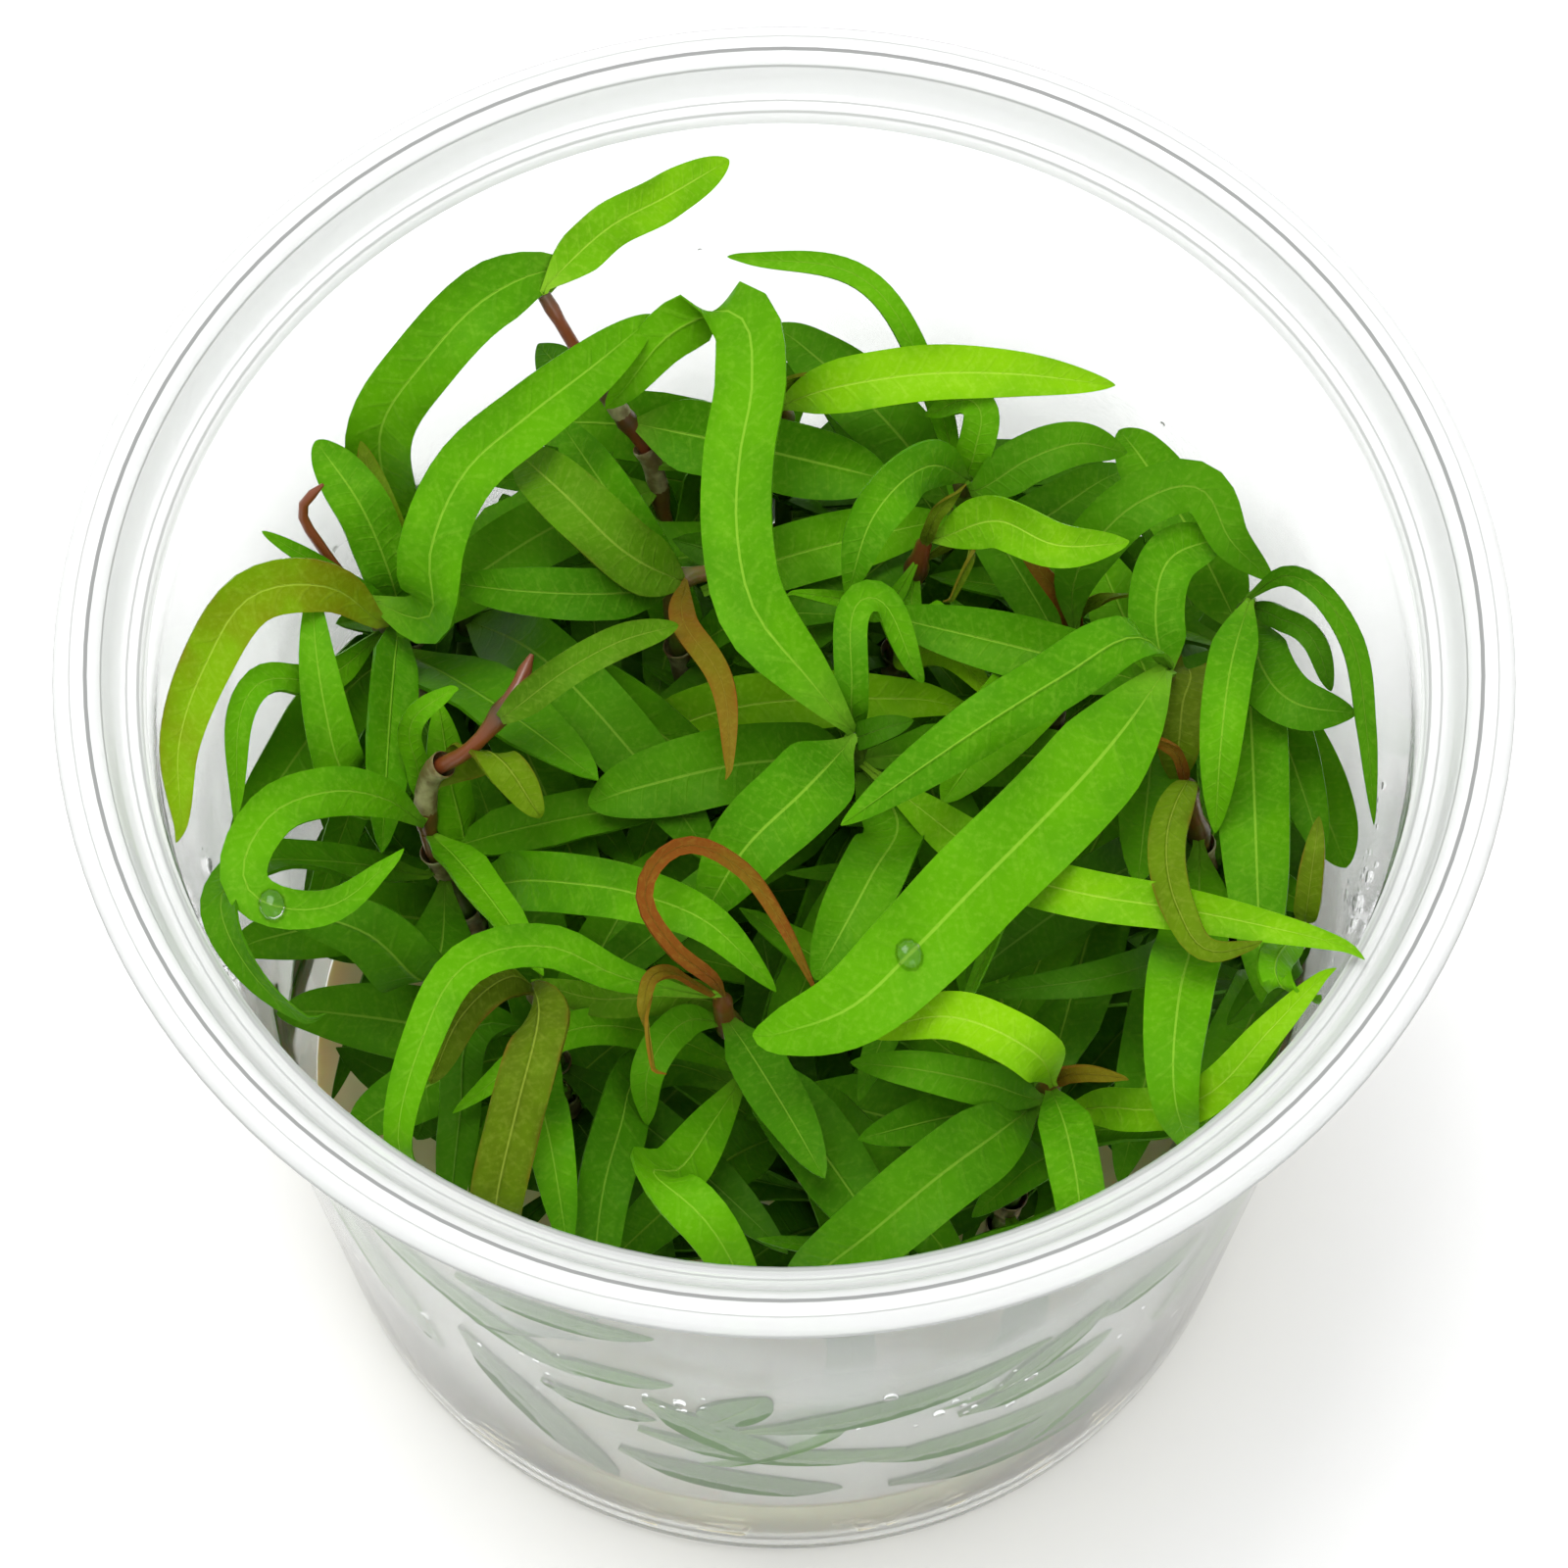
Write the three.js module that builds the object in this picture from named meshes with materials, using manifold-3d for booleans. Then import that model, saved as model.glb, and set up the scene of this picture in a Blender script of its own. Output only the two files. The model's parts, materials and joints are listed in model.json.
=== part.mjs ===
import * as THREE from "three";
import { mergeVertices } from "three/addons/utils/BufferGeometryUtils.js";
import Module from "manifold-3d";

// A tuft of persicaria grown in a clear culture cup: lance-shaped leaves on jointed stems that
// stand in a layer of pale gel. Millimetres, +Z up, origin at the middle of the cup's underside.

const wasm = await Module();
wasm.setup();

// Cup
const CUP_HEIGHT = 86;
const CUP_SIDES = 36;
const RIM_RADIUS = 50.5;
const BEAD_RADIUS = 48;
const LEDGE_OUTER_RADIUS = 45.9;
const LEDGE_INNER_RADIUS = 45.1;
const LEDGE_DEPTH = 3;
const BODY_TOP_RADIUS = 44.9;
const BODY_TOP_DEPTH = 4.6;
const BASE_RADIUS = 37.1;
const BASE_FILLET = 2.6;
const WALL = 0.7;
const FLOOR = 0.9;

// Gel
const GEL_TOP = 12.4;
const GEL_MENISCUS = 0.5;
const SOCKET_FLOOR = 6;
const SOCKET_SIDES = 4;

// Clear gap between neighbouring pieces
const GAP = 0.3;

// Stems
const STEM_SIDES = 5;
const STEM_STEP = 17;
const STEM_FOOT = SOCKET_FLOOR + 0.4;
const SHEATH_LENGTH = 5.5;
const SHEATH_SWELL = 0.35;

// Leaves
const BLADE_THICKNESS = 0.42;
const PETIOLE_WIDTH = 0.9;
const PETIOLE_THICKNESS = 0.6;
const WIDEST_FROM = 0.3;
const WIDEST_TO = 0.5;
const LAST_RING_AT = 0.965;
const EDGE_LIFT = 0.07;
const SECTION_LENGTH = 5.4;
const GROWN_SECTION_LENGTH = 8;
const FEWEST_SECTIONS = 4;
const MOST_SECTIONS = 9;
const SIDE_HOLD = 0.35;
const LEAST_PART = 0.002;
const LEAST_WIDTH_SHARE = 0.55;
// A leaf with no room at its full width is made narrower
const WIDTH_STEPS = [1, 0.85, 0.7, 0.55, 0.4];
const FOLD_PROBE = 0.0005;
const MOST_FOLDED = 3;
const MOST_FOLDED_GROWN = 1;
const SINK_STEP = 0.7;
const SINK_STEPS = 44;
const ATTACH_STEPS = [0, -2, 2, -4, 4, -7, -10];

// Leaves at the stems' lower joints, between the gel and the crown
const JOINT_DEPTHS = [3.2, 8.2, 14, 20, 27];
const LEAST_NEW_CELLS = 4;
const CROWN_FLOOR = 74;
const LOW_LEAF_LENGTH = 26;
const LOW_LEAF_WIDTH = 5;
const LOW_LEAF_SECTIONS = 3;
const LOW_LEAF_LAST_RING = 0.84;
const LOW_LEAF_RISE = 0.42;
const LOW_LEAF_TURNS = 16;
const LOW_LEAF_SCALES = [1.15, 0.9, 0.7];

// Leaves between the gel and the joints above, with few faces, each out of one face of its stem
const DEEP_HEIGHTS = [18, 30, 42];
const DEEP_STAGGER = 4;
const DEEP_LEAF = { width: 5.5, sections: 2, lastRing: 0.45, petiole: 0.3, corners: 3 };
const DEEP_LEAF_LENGTH = 25;
const DEEP_LEAF_SCALES = [1.15, 0.9, 0.65];
const DEEP_RISES = [0.3, 0.55, 0.8];
const DEEP_LEAST_ROOM = 2.9;
const MARK_SHARES = [0.35, 0.6, 0.8, 1];

// The least that a leaf and its stem share, and the most area that pieces held apart may share
const JOINED_VOLUME = 0.05;
const TOUCH_AREA = 0.001;

// The grid on which the eye's view of the tuft is taken as filled or open
const CELL = 24;
const CELL_STEPS = 16;

// The eye that saw the tuft, for the places of leaves: a square picture 1600 across, whose middle
// line of sight meets the plane of the rim a little in front of the cup's axis.
const PICTURE_SIZE = 1600;
const PICTURE_FOCUS = 6500;
const EYE_ELEVATION = THREE.MathUtils.degToRad(64.66);
const EYE_DISTANCE = 434.4;
const EYE_TARGET = new THREE.Vector3(0, -10.61, CUP_HEIGHT);

// The oval that the tuft fills in that picture
const TUFT_MIDDLE = new THREE.Vector2(790, 830);
const TUFT_REACH = new THREE.Vector2(590, 525);

const EYE_FORWARD = new THREE.Vector3(0, Math.cos(EYE_ELEVATION), -Math.sin(EYE_ELEVATION));
const EYE_RIGHT = new THREE.Vector3(1, 0, 0);
const EYE_UP = new THREE.Vector3(0, Math.sin(EYE_ELEVATION), Math.cos(EYE_ELEVATION));
const EYE = EYE_TARGET.clone().addScaledVector(EYE_FORWARD, -EYE_DISTANCE);

// Colours
const TONES = {
  lime: { color: 0x86c41c, roughness: 0.42 },
  bright: { color: 0x5db014, roughness: 0.42 },
  green: { color: 0x3f8f18, roughness: 0.45 },
  dark: { color: 0x27601a, roughness: 0.5 },
  olive: { color: 0x6f7a20, roughness: 0.45 },
  red: { color: 0xa4491f, roughness: 0.45 },
  cup: { color: 0xeef2f0, roughness: 0.12 },
  gel: { color: 0xe9dfbd, roughness: 0.35 },
};

// The direction in which the eye sees a place of the picture.
function sightLine(across, down) {
  const middle = PICTURE_SIZE / 2;
  return EYE_FORWARD.clone()
    .multiplyScalar(PICTURE_FOCUS)
    .addScaledVector(EYE_RIGHT, across - middle)
    .addScaledVector(EYE_UP, middle - down)
    .normalize();
}

// The point at a height that the eye sees at a place of the picture.
function seen(across, down, height) {
  const line = sightLine(across, down);
  return EYE.clone().addScaledVector(line, (height - EYE.z) / line.z);
}

// The place in the picture at which the eye sees a point.
function placeOf(point) {
  const ray = point.clone().sub(EYE);
  const scale = PICTURE_FOCUS / ray.dot(EYE_FORWARD);
  const middle = PICTURE_SIZE / 2;
  return new THREE.Vector2(middle + scale * ray.dot(EYE_RIGHT), middle - scale * ray.dot(EYE_UP));
}

function insideTuft(point) {
  return placeOf(point).sub(TUFT_MIDDLE).divide(TUFT_REACH).length() < 1;
}

// The inner radius of the cup at a height.
function innerRadius(height) {
  const ledge = CUP_HEIGHT - LEDGE_DEPTH;
  if (height > ledge) return LEDGE_OUTER_RADIUS;
  const share = Math.max(0, height - BASE_FILLET) / (CUP_HEIGHT - BODY_TOP_DEPTH - BASE_FILLET);
  return BASE_RADIUS + share * (BODY_TOP_RADIUS - BASE_RADIUS) - WALL;
}

// How far from the axis a leaf may reach at a height, inside the flats of the cup's sides.
function roomRadius(height) {
  return innerRadius(height) * Math.cos(Math.PI / CUP_SIDES) - GAP;
}

// The point where the eye, looking through the front wall, meets the inside of the cup.
function seenOnWall(across, down) {
  let low = GEL_TOP;
  let high = CUP_HEIGHT - LEDGE_DEPTH;
  for (let step = 0; step < 30; step++) {
    const height = (low + high) / 2;
    const point = seen(across, down, height);
    if (Math.hypot(point.x, point.y) > roomRadius(height) - 0.4) high = height;
    else low = height;
  }
  return seen(across, down, low);
}

// A closed solid over rings of points that run anticlockwise seen from the far end, with an
// optional point at the far end. In a blade each face between two rings is parted from its edge to
// its middle line, above and below alike, so that a twist doesn't push one face through the other.
function loft(rings, tip, isBlade = false) {
  const sides = rings[0].length;
  const points = rings.flat();
  const faces = [];
  for (let ring = 0; ring + 1 < rings.length; ring++)
    for (let side = 0; side < sides; side++) {
      const a = ring * sides + side;
      const b = ring * sides + ((side + 1) % sides);
      if (isBlade && side % 2) faces.push(a, b, a + sides, b, b + sides, a + sides);
      else faces.push(a, b, b + sides, a, b + sides, a + sides);
    }
  for (let side = 1; side + 1 < sides; side++) faces.push(0, side + 1, side);
  const last = (rings.length - 1) * sides;
  if (tip) {
    points.push(tip);
    for (let side = 0; side < sides; side++)
      faces.push(last + side, last + ((side + 1) % sides), points.length - 1);
  } else {
    for (let side = 1; side + 1 < sides; side++) faces.push(last, last + side, last + side + 1);
  }
  return new THREE.BufferGeometry().setFromPoints(points).setIndex(faces);
}

function toSolid(geometry) {
  const bare = geometry.clone();
  bare.deleteAttribute("normal");
  bare.deleteAttribute("uv");
  const welded = mergeVertices(bare, 1e-4);
  const corners = [];
  const index = welded.index.array;
  for (let i = 0; i < index.length; i += 3) {
    const [a, b, c] = [index[i], index[i + 1], index[i + 2]];
    if (a !== b && b !== c && c !== a) corners.push(a, b, c);
  }
  return new wasm.Manifold(
    new wasm.Mesh({
      numProp: 3,
      vertProperties: welded.attributes.position.array,
      triVerts: new Uint32Array(corners),
    }),
  );
}

function toGeometry(solid) {
  const { numProp, numVert, vertProperties, triVerts } = solid.getMesh();
  const positions = new Float32Array(numVert * 3);
  for (let i = 0; i < numVert; i++)
    positions.set(vertProperties.subarray(i * numProp, i * numProp + 3), i * 3);
  return new THREE.BufferGeometry()
    .setAttribute("position", new THREE.BufferAttribute(positions, 3))
    .setIndex(new THREE.BufferAttribute(triVerts, 1));
}

// A body of revolution about Z, from its profile of [radius, height] points.
function turned(profile) {
  const points = profile.map(([radius, height]) => new THREE.Vector2(radius, height));
  return new THREE.LatheGeometry(points, CUP_SIDES).rotateX(Math.PI / 2);
}

function arc(radius, height, size, from, to, steps) {
  return Array.from({ length: steps + 1 }, (_, i) => {
    const angle = THREE.MathUtils.degToRad(from + ((to - from) * i) / steps);
    return [radius + size * Math.cos(angle), height + size * Math.sin(angle)];
  });
}

// The cup: a tapered body, a seat for the lid and a rim that rolls outwards.
function cupProfile() {
  const top = CUP_HEIGHT;
  const ledge = CUP_HEIGHT - LEDGE_DEPTH;
  const bodyTop = CUP_HEIGHT - BODY_TOP_DEPTH;
  const innerFillet = BASE_FILLET - WALL;
  return [
    [0, 0],
    ...arc(BASE_RADIUS - BASE_FILLET, BASE_FILLET, BASE_FILLET, -90, -6, 1),
    [BODY_TOP_RADIUS, bodyTop],
    [LEDGE_OUTER_RADIUS + WALL, ledge - WALL],
    [BEAD_RADIUS - 1.1, top - 1.7],
    [BEAD_RADIUS + 0.4, top - 0.9],
    [RIM_RADIUS - 0.6, top - 1.35],
    [RIM_RADIUS, top - 0.8],
    [BEAD_RADIUS, top],
    [LEDGE_OUTER_RADIUS, ledge],
    [LEDGE_INNER_RADIUS, ledge - 0.05],
    [innerRadius(ledge - 1), ledge - 1],
    ...arc(BASE_RADIUS - BASE_FILLET, BASE_FILLET, innerFillet, -6, -90, 1).map(([radius, height]) => [
      radius,
      Math.max(height, FLOOR),
    ]),
    [0, FLOOR],
  ];
}

// The gel: a disc that fills the foot of the cup and climbs a little at the wall.
function gelProfile() {
  const radius = (height) => innerRadius(height) - GAP;
  return [
    [0, FLOOR + GAP],
    [BASE_RADIUS - BASE_FILLET - GAP, FLOOR + GAP],
    [BASE_RADIUS - WALL - 2 * GAP, BASE_FILLET + GAP],
    [radius(GEL_TOP + GEL_MENISCUS), GEL_TOP + GEL_MENISCUS],
    [radius(GEL_TOP) - 1.2, GEL_TOP],
    [0, GEL_TOP],
  ];
}

// A stem's route from its foot in the gel, its radius at foot and top, and the heights at which
// a papery sheath starts. Points with "at" are places in the cup, the others are seen from the eye.
const STEMS = [
  {
    name: "stem_back_left",
    tone: "green",
    at: [
      [-7, 17, STEM_FOOT],
      [-8, 19, 35],
    ],
    seen: [
      [686, 560, 62],
      [676, 520, 66],
      [664, 468, 71],
      [640, 430, 74],
      [600, 375, 78],
      [555, 300, 82],
    ],
    radius: [0.8, 0.45],
    sheaths: [60, 69],
  },
  {
    name: "stem_left",
    tone: "green",
    at: [
      [-17, -3, STEM_FOOT],
      [-20, -5, 30],
    ],
    seen: [
      [484, 945, 54],
      [458, 896, 61],
      [436, 850, 68],
      [440, 792, 73],
      [480, 764, 77],
      [520, 715, 79.5],
      [543, 668, 80.5],
    ],
    radius: [0.95, 0.5],
    sheaths: [48, 57],
  },
  {
    name: "stem_middle_back",
    tone: "green",
    at: [
      [-3, 7, STEM_FOOT],
      [-5, 9, 45],
    ],
    seen: [
      [684, 598, 73],
      [738, 582, 74],
    ],
    radius: [0.8, 0.6],
    sheaths: [],
  },
  {
    name: "stem_front",
    tone: "green",
    at: [
      [5, -17, STEM_FOOT],
      [5, -21, 28],
    ],
    seen: [
      [826, 1190, 48],
      [787, 1108, 61],
      [742, 1042, 70],
      [737, 1014, 74],
    ],
    radius: [0.95, 0.7],
    sheaths: [44, 54, 65],
  },
  {
    name: "stem_right",
    tone: "green",
    at: [
      [23, -5, STEM_FOOT],
      [28, -7, 40],
    ],
    seen: [
      [1228, 905, 60],
      [1226, 868, 66],
      [1212, 800, 75],
    ],
    radius: [0.9, 0.6],
    sheaths: [61],
  },
  {
    name: "stem_centre_right",
    tone: "green",
    at: [
      [9, 13, STEM_FOOT],
      [9, 14, 40],
    ],
    seen: [
      [912, 712, 52],
      [918, 640, 65],
      [945, 548, 77],
    ],
    radius: [0.9, 0.6],
    sheaths: [52],
  },
  {
    name: "stem_young",
    tone: "green",
    at: [
      [16, 6, STEM_FOOT],
      [19, 7, 50],
    ],
    seen: [[1097, 650, 73]],
    radius: [0.75, 0.5],
    sheaths: [],
  },
  {
    name: "stem_left_red",
    tone: "green",
    at: [
      [-18, 6, STEM_FOOT],
      [-23, 7, 42],
    ],
    seen: [
      [425, 695, 64],
      [395, 645, 69],
      [360, 600, 74],
      [328, 558, 78],
      [308, 520, 81],
      [330, 494, 83],
    ],
    radius: [0.8, 0.35],
    sheaths: [],
  },
  {
    name: "stem_back_right",
    tone: "green",
    at: [
      [11, 22, STEM_FOOT],
      [12, 23, 45],
    ],
    seen: [[986, 490, 77]],
    radius: [0.8, 0.6],
    sheaths: [62],
  },
  {
    name: "stem_far_right",
    tone: "green",
    at: [
      [27, 12, STEM_FOOT],
      [32, 13, 45],
    ],
    seen: [[1277, 612, 78]],
    radius: [0.8, 0.6],
    sheaths: [60],
  },
  {
    name: "stem_right_middle",
    tone: "green",
    at: [
      [20, 1, STEM_FOOT],
      [25, 4, 45],
    ],
    seen: [[1192, 684, 78]],
    radius: [0.85, 0.6],
    sheaths: [60],
  },
  {
    name: "stem_front_right",
    tone: "green",
    at: [
      [15, -18, STEM_FOOT],
      [17, -22, 40],
    ],
    seen: [[1072, 1104, 73]],
    radius: [0.85, 0.6],
    sheaths: [55],
  },
  {
    name: "stem_wall_right",
    tone: "green",
    at: [
      [30, -8, STEM_FOOT],
      [35, -10, 45],
    ],
    seen: [[1332, 938, 79]],
    radius: [0.75, 0.5],
    sheaths: [58],
  },
  {
    name: "stem_centre",
    tone: "green",
    at: [
      [5, 1, STEM_FOOT],
      [6, 3, 45],
    ],
    seen: [[872, 748, 77]],
    radius: [0.85, 0.6],
    sheaths: [60],
  },
  {
    name: "stem_front_left",
    tone: "green",
    at: [
      [-12, -16, STEM_FOOT],
      [-15, -19, 40],
    ],
    seen: [[548, 1008, 76]],
    radius: [0.85, 0.6],
    sheaths: [55],
  },
  {
    name: "stem_back_wall",
    tone: "green",
    at: [
      [-22, 15, STEM_FOOT],
      [-26, 17, 45],
    ],
    seen: [[404, 622, 72]],
    radius: [0.8, 0.6],
    sheaths: [55],
  },
  {
    name: "stem_back",
    tone: "green",
    at: [
      [0, 25, STEM_FOOT],
      [0, 27, 45],
    ],
    seen: [[798, 415, 76]],
    radius: [0.8, 0.6],
    sheaths: [58],
  },
  {
    name: "stem_left_back",
    tone: "green",
    at: [
      [-23, 10, STEM_FOOT],
      [-25, 12, 38],
      [-23, 15, 64],
    ],
    seen: [],
    radius: [0.8, 0.55],
    sheaths: [],
  },
  {
    name: "stem_middle",
    tone: "green",
    at: [
      [-11, 4, STEM_FOOT],
      [-13, 5, 38],
      [-13, 3, 64],
    ],
    seen: [],
    radius: [0.8, 0.55],
    sheaths: [],
  },
];

// Leaves of the crown, from the uppermost to the lowest. Each one's middle line is given from its
// base to its tip as places seen from the eye with a height, or with no height where it lies
// against the wall. Width in millimetres; roll turns the blade about its middle line. A leaf with
// a name is a piece of its own, and the others are one with their stem.
const CROWN = [
  {
    name: "leaf_front_large",
    stem: "stem_right_middle",
    tone: "bright",
    width: 6.8,
    line: [
      [1180, 695, 80.5],
      [1130, 765, 82.8],
      [1060, 840, 84],
      [980, 920, 84],
      [900, 1000, 83.3],
      [830, 1052, 82],
      [768, 1056, 80.5],
    ],
  },
  {
    name: "leaf_long_diagonal",
    stem: "stem_right_middle",
    tone: "lime",
    width: 4.3,
    line: [
      [1190, 664, 81],
      [1170, 648, 82.6],
      [1125, 666, 83.6],
      [1060, 705, 84.2],
      [980, 755, 84],
      [910, 805, 83],
      [858, 842, 81.5],
    ],
  },
  {
    name: "leaf_orange_curl",
    stem: "stem_front",
    tone: "red",
    width: 1.7,
    sections: 8,
    roll: 25,
    line: [
      [738, 1008, 77],
      [699, 976, 81],
      [667, 946, 83.4],
      [657, 908, 84.4],
      [675, 872, 84.6],
      [712, 861, 84.4],
      [752, 882, 83.8],
      [800, 945, 82.2],
      [834, 1015, 79.8],
    ],
  },
  {
    stem: "stem_front",
    tone: "red",
    width: 1.1,
    roll: 30,
    line: [
      [728, 1006, 77],
      [700, 990, 80],
      [660, 1000, 82.4],
      [634, 1035, 83],
      [640, 1076, 83],
      [680, 1096, 82.6],
    ],
  },
  {
    name: "leaf_centre_arch",
    stem: "stem_centre",
    tone: "bright",
    width: 5.1,
    line: [
      [862, 738, 79],
      [835, 703, 81],
      [792, 655, 82.4],
      [760, 600, 83.4],
      [752, 530, 84],
      [757, 450, 84.2],
      [768, 385, 84.2],
      [762, 332, 84],
      [727, 308, 83.6],
      [690, 335, 82],
      [655, 378, 80],
      [618, 417, 77.5],
    ],
  },
  {
    name: "leaf_left_diagonal",
    stem: "stem_left_red",
    tone: "bright",
    width: 5.4,
    line: [
      [440, 628, 77],
      [438, 585, 81],
      [442, 545, 83],
      [462, 498, 83.8],
      [500, 455, 84],
      [555, 412, 84],
      [612, 368, 83],
      [668, 322, 81],
    ],
  },
  {
    name: "leaf_curled_left",
    stem: "stem_left",
    tone: "bright",
    width: 3.5,
    line: [
      [428, 838, 71],
      [395, 816, 76],
      [335, 808, 80.5],
      [272, 836, 83],
      [246, 884, 83.4],
      [266, 922, 83.2],
      [312, 930, 82.8],
      [368, 908, 82.6],
      [412, 866, 82.6],
    ],
  },
  {
    name: "leaf_front_arch",
    stem: "stem_front",
    tone: "bright",
    width: 3,
    line: [
      [640, 1000, 77],
      [590, 972, 80],
      [530, 966, 82],
      [468, 990, 83.4],
      [436, 1048, 83],
      [416, 1112, 81.2],
      [402, 1188, 78.2],
      [396, 1250, 73],
    ],
  },
  {
    name: "leaf_twisted_front",
    stem: "stem_front_left",
    tone: "olive",
    width: 3.8,
    line: [
      [544, 1008, 79],
      [550, 1048, 81.4],
      [538, 1106, 82],
      [514, 1167, 80.6],
      [505, 1240, 77],
      [498, 1300, 70],
    ],
  },
  {
    name: "leaf_olive_red",
    stem: "stem_right",
    tone: "olive",
    width: 2.6,
    sections: 8,
    line: [
      [1212, 798, 78],
      [1195, 834, 81.4],
      [1190, 874, 82.8],
      [1202, 926, 83.8],
      [1224, 964, 84],
      [1250, 974, 83.8],
      [1288, 960, 83.4],
    ],
  },
  {
    stem: "stem_right",
    tone: "red",
    width: 0.9,
    line: [
      [1208, 790, 78],
      [1195, 762, 81],
      [1172, 746, 82.6],
      [1148, 750, 83],
    ],
  },
  {
    name: "leaf_right_bright",
    stem: "stem_centre",
    tone: "lime",
    width: 3.5,
    line: [
      [1045, 897, 80],
      [1116, 914, 82],
      [1208, 928, 82],
      [1285, 944, 83],
      [1351, 952, 84],
      [1394, 980, 84],
    ],
  },
  {
    name: "leaf_right_arch",
    stem: "stem_far_right",
    tone: "green",
    width: 1.7,
    line: [
      [1278, 600, 80],
      [1305, 592, 82.6],
      [1338, 590, 83.8],
      [1364, 612, 83.6],
      [1380, 660, 82.4],
      [1391, 720, 80.4],
      [1399, 790, 78],
      [1402, 842, 76],
    ],
  },
  {
    name: "leaf_right_yellow",
    stem: "stem_centre_right",
    tone: "lime",
    width: 3.7,
    line: [
      [978, 545, 79],
      [1012, 530, 81.5],
      [1062, 550, 83],
      [1110, 563, 83.2],
      [1152, 552, 82.6],
    ],
  },
  {
    name: "leaf_right_big_arch",
    stem: "stem_young",
    tone: "green",
    width: 4,
    sections: 7,
    line: [
      [1100, 575, 79],
      [1140, 532, 81.6],
      [1180, 502, 83],
      [1214, 492, 83.2],
      [1240, 520, 82],
      [1262, 562, 80],
      [1300, 592, 77],
    ],
  },
  {
    name: "leaf_back_point",
    stem: "stem_back",
    tone: "lime",
    width: 4,
    line: [
      [806, 404, 79],
      [862, 394, 81.6],
      [930, 383, 82.8],
      [1000, 380, 83.2],
      [1070, 385, 83],
      [1138, 393, 82],
    ],
  },
  {
    stem: "stem_back",
    tone: "olive",
    width: 1.7,
    line: [
      [802, 388, 80],
      [832, 368, 82.2],
      [866, 378, 82.4],
    ],
  },
  {
    name: "leaf_bright_arch",
    stem: "stem_back_right",
    tone: "bright",
    width: 3.8,
    line: [
      [978, 482, 79.5],
      [942, 476, 82.2],
      [906, 502, 83.2],
      [882, 548, 82.2],
      [864, 608, 79],
    ],
  },
  {
    stem: "stem_centre_right",
    tone: "olive",
    width: 1,
    line: [
      [950, 538, 79],
      [962, 516, 81],
      [986, 494, 82.4],
    ],
  },
  {
    stem: "stem_centre_right",
    tone: "olive",
    width: 1.5,
    roll: 25,
    line: [
      [962, 545, 78.4],
      [990, 550, 80.4],
      [1010, 568, 81],
      [1008, 594, 80.4],
      [984, 606, 79.4],
      [962, 614, 78.4],
    ],
  },
  {
    stem: "stem_back_right",
    tone: "green",
    width: 2.6,
    line: [
      [990, 470, 79],
      [1004, 432, 82],
      [990, 408, 82.4],
      [944, 424, 80.4],
    ],
  },
  {
    stem: "stem_back_right",
    tone: "green",
    width: 1.8,
    line: [
      [950, 400, 79],
      [934, 336, 81.4],
      [912, 300, 82.8],
      [872, 282, 83],
      [812, 267, 82.8],
      [742, 262, 82],
    ],
  },
  {
    name: "leaf_back_tip",
    stem: "stem_back_left",
    tone: "lime",
    width: 3.4,
    line: [
      [562, 290, 82.4],
      [584, 260, 83],
      [624, 230, 83],
      [682, 199, 82.4],
      [744, 163, 81.6],
    ],
  },
  {
    name: "leaf_back_droop",
    stem: "stem_back_left",
    tone: "green",
    width: 4.8,
    line: [
      [566, 266, 82.6],
      [540, 266, 83.4],
      [498, 302, 83.6],
      [440, 362, 82.2],
      [400, 405, 79.6],
      [388, 450, 76],
      [396, 505, 71],
      [420, 562, 64],
    ],
  },
  {
    name: "leaf_left_yellow",
    stem: "stem_back_wall",
    tone: "lime",
    width: 3.9,
    line: [
      [378, 636, 77],
      [350, 606, 80.6],
      [310, 592, 83],
      [266, 601, 84],
      [228, 642, 84],
      [196, 712, 84],
      [178, 782, 84],
      [172, 862, 83.6],
    ],
  },
  {
    stem: "stem_back_wall",
    tone: "green",
    width: 1.3,
    line: [
      [368, 602, 76],
      [308, 566, 80],
      [267, 542, 81.6],
    ],
  },
  {
    stem: "stem_back_wall",
    tone: "green",
    width: 4,
    line: [
      [402, 606, 75],
      [394, 576, 77.6],
      [374, 528, 80.4],
      [348, 484, 82],
      [322, 450, 82],
    ],
  },
  {
    stem: "stem_back_wall",
    tone: "olive",
    width: 3.2,
    line: [
      [404, 590, 73],
      [390, 530, 76],
      [368, 450, 78],
    ],
  },
  {
    name: "leaf_red_hanging",
    stem: "stem_middle_back",
    tone: "red",
    width: 1.9,
    line: [
      [688, 606, 76],
      [698, 636, 79],
      [716, 662, 80.4],
      [734, 692, 81],
      [749, 722, 81.4],
      [755, 754, 81.2],
      [740, 796, 80.4],
    ],
  },
  {
    name: "leaf_yellow_green",
    stem: "stem_left",
    tone: "lime",
    width: 2.4,
    line: [
      [524, 726, 80.6],
      [556, 698, 82],
      [602, 670, 82.8],
      [648, 648, 82.4],
      [692, 638, 81.2],
    ],
  },
  {
    name: "leaf_olive_broad",
    stem: "stem_middle_back",
    tone: "olive",
    width: 4.6,
    line: [
      [674, 590, 76],
      [640, 566, 79],
      [598, 528, 81],
      [562, 490, 81],
      [528, 462, 79.4],
    ],
  },
  {
    name: "leaf_left_flat",
    stem: "stem_middle_back",
    tone: "green",
    width: 3.7,
    line: [
      [664, 606, 75],
      [636, 606, 77],
      [580, 605, 78.4],
      [520, 602, 78.4],
      [452, 594, 76.4],
    ],
  },
  {
    stem: "stem_middle_back",
    tone: "green",
    width: 3.8,
    line: [
      [674, 572, 75],
      [640, 530, 78],
      [596, 474, 79],
      [570, 426, 78],
    ],
  },
  {
    name: "leaf_front_fold",
    stem: "stem_front",
    tone: "olive",
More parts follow.
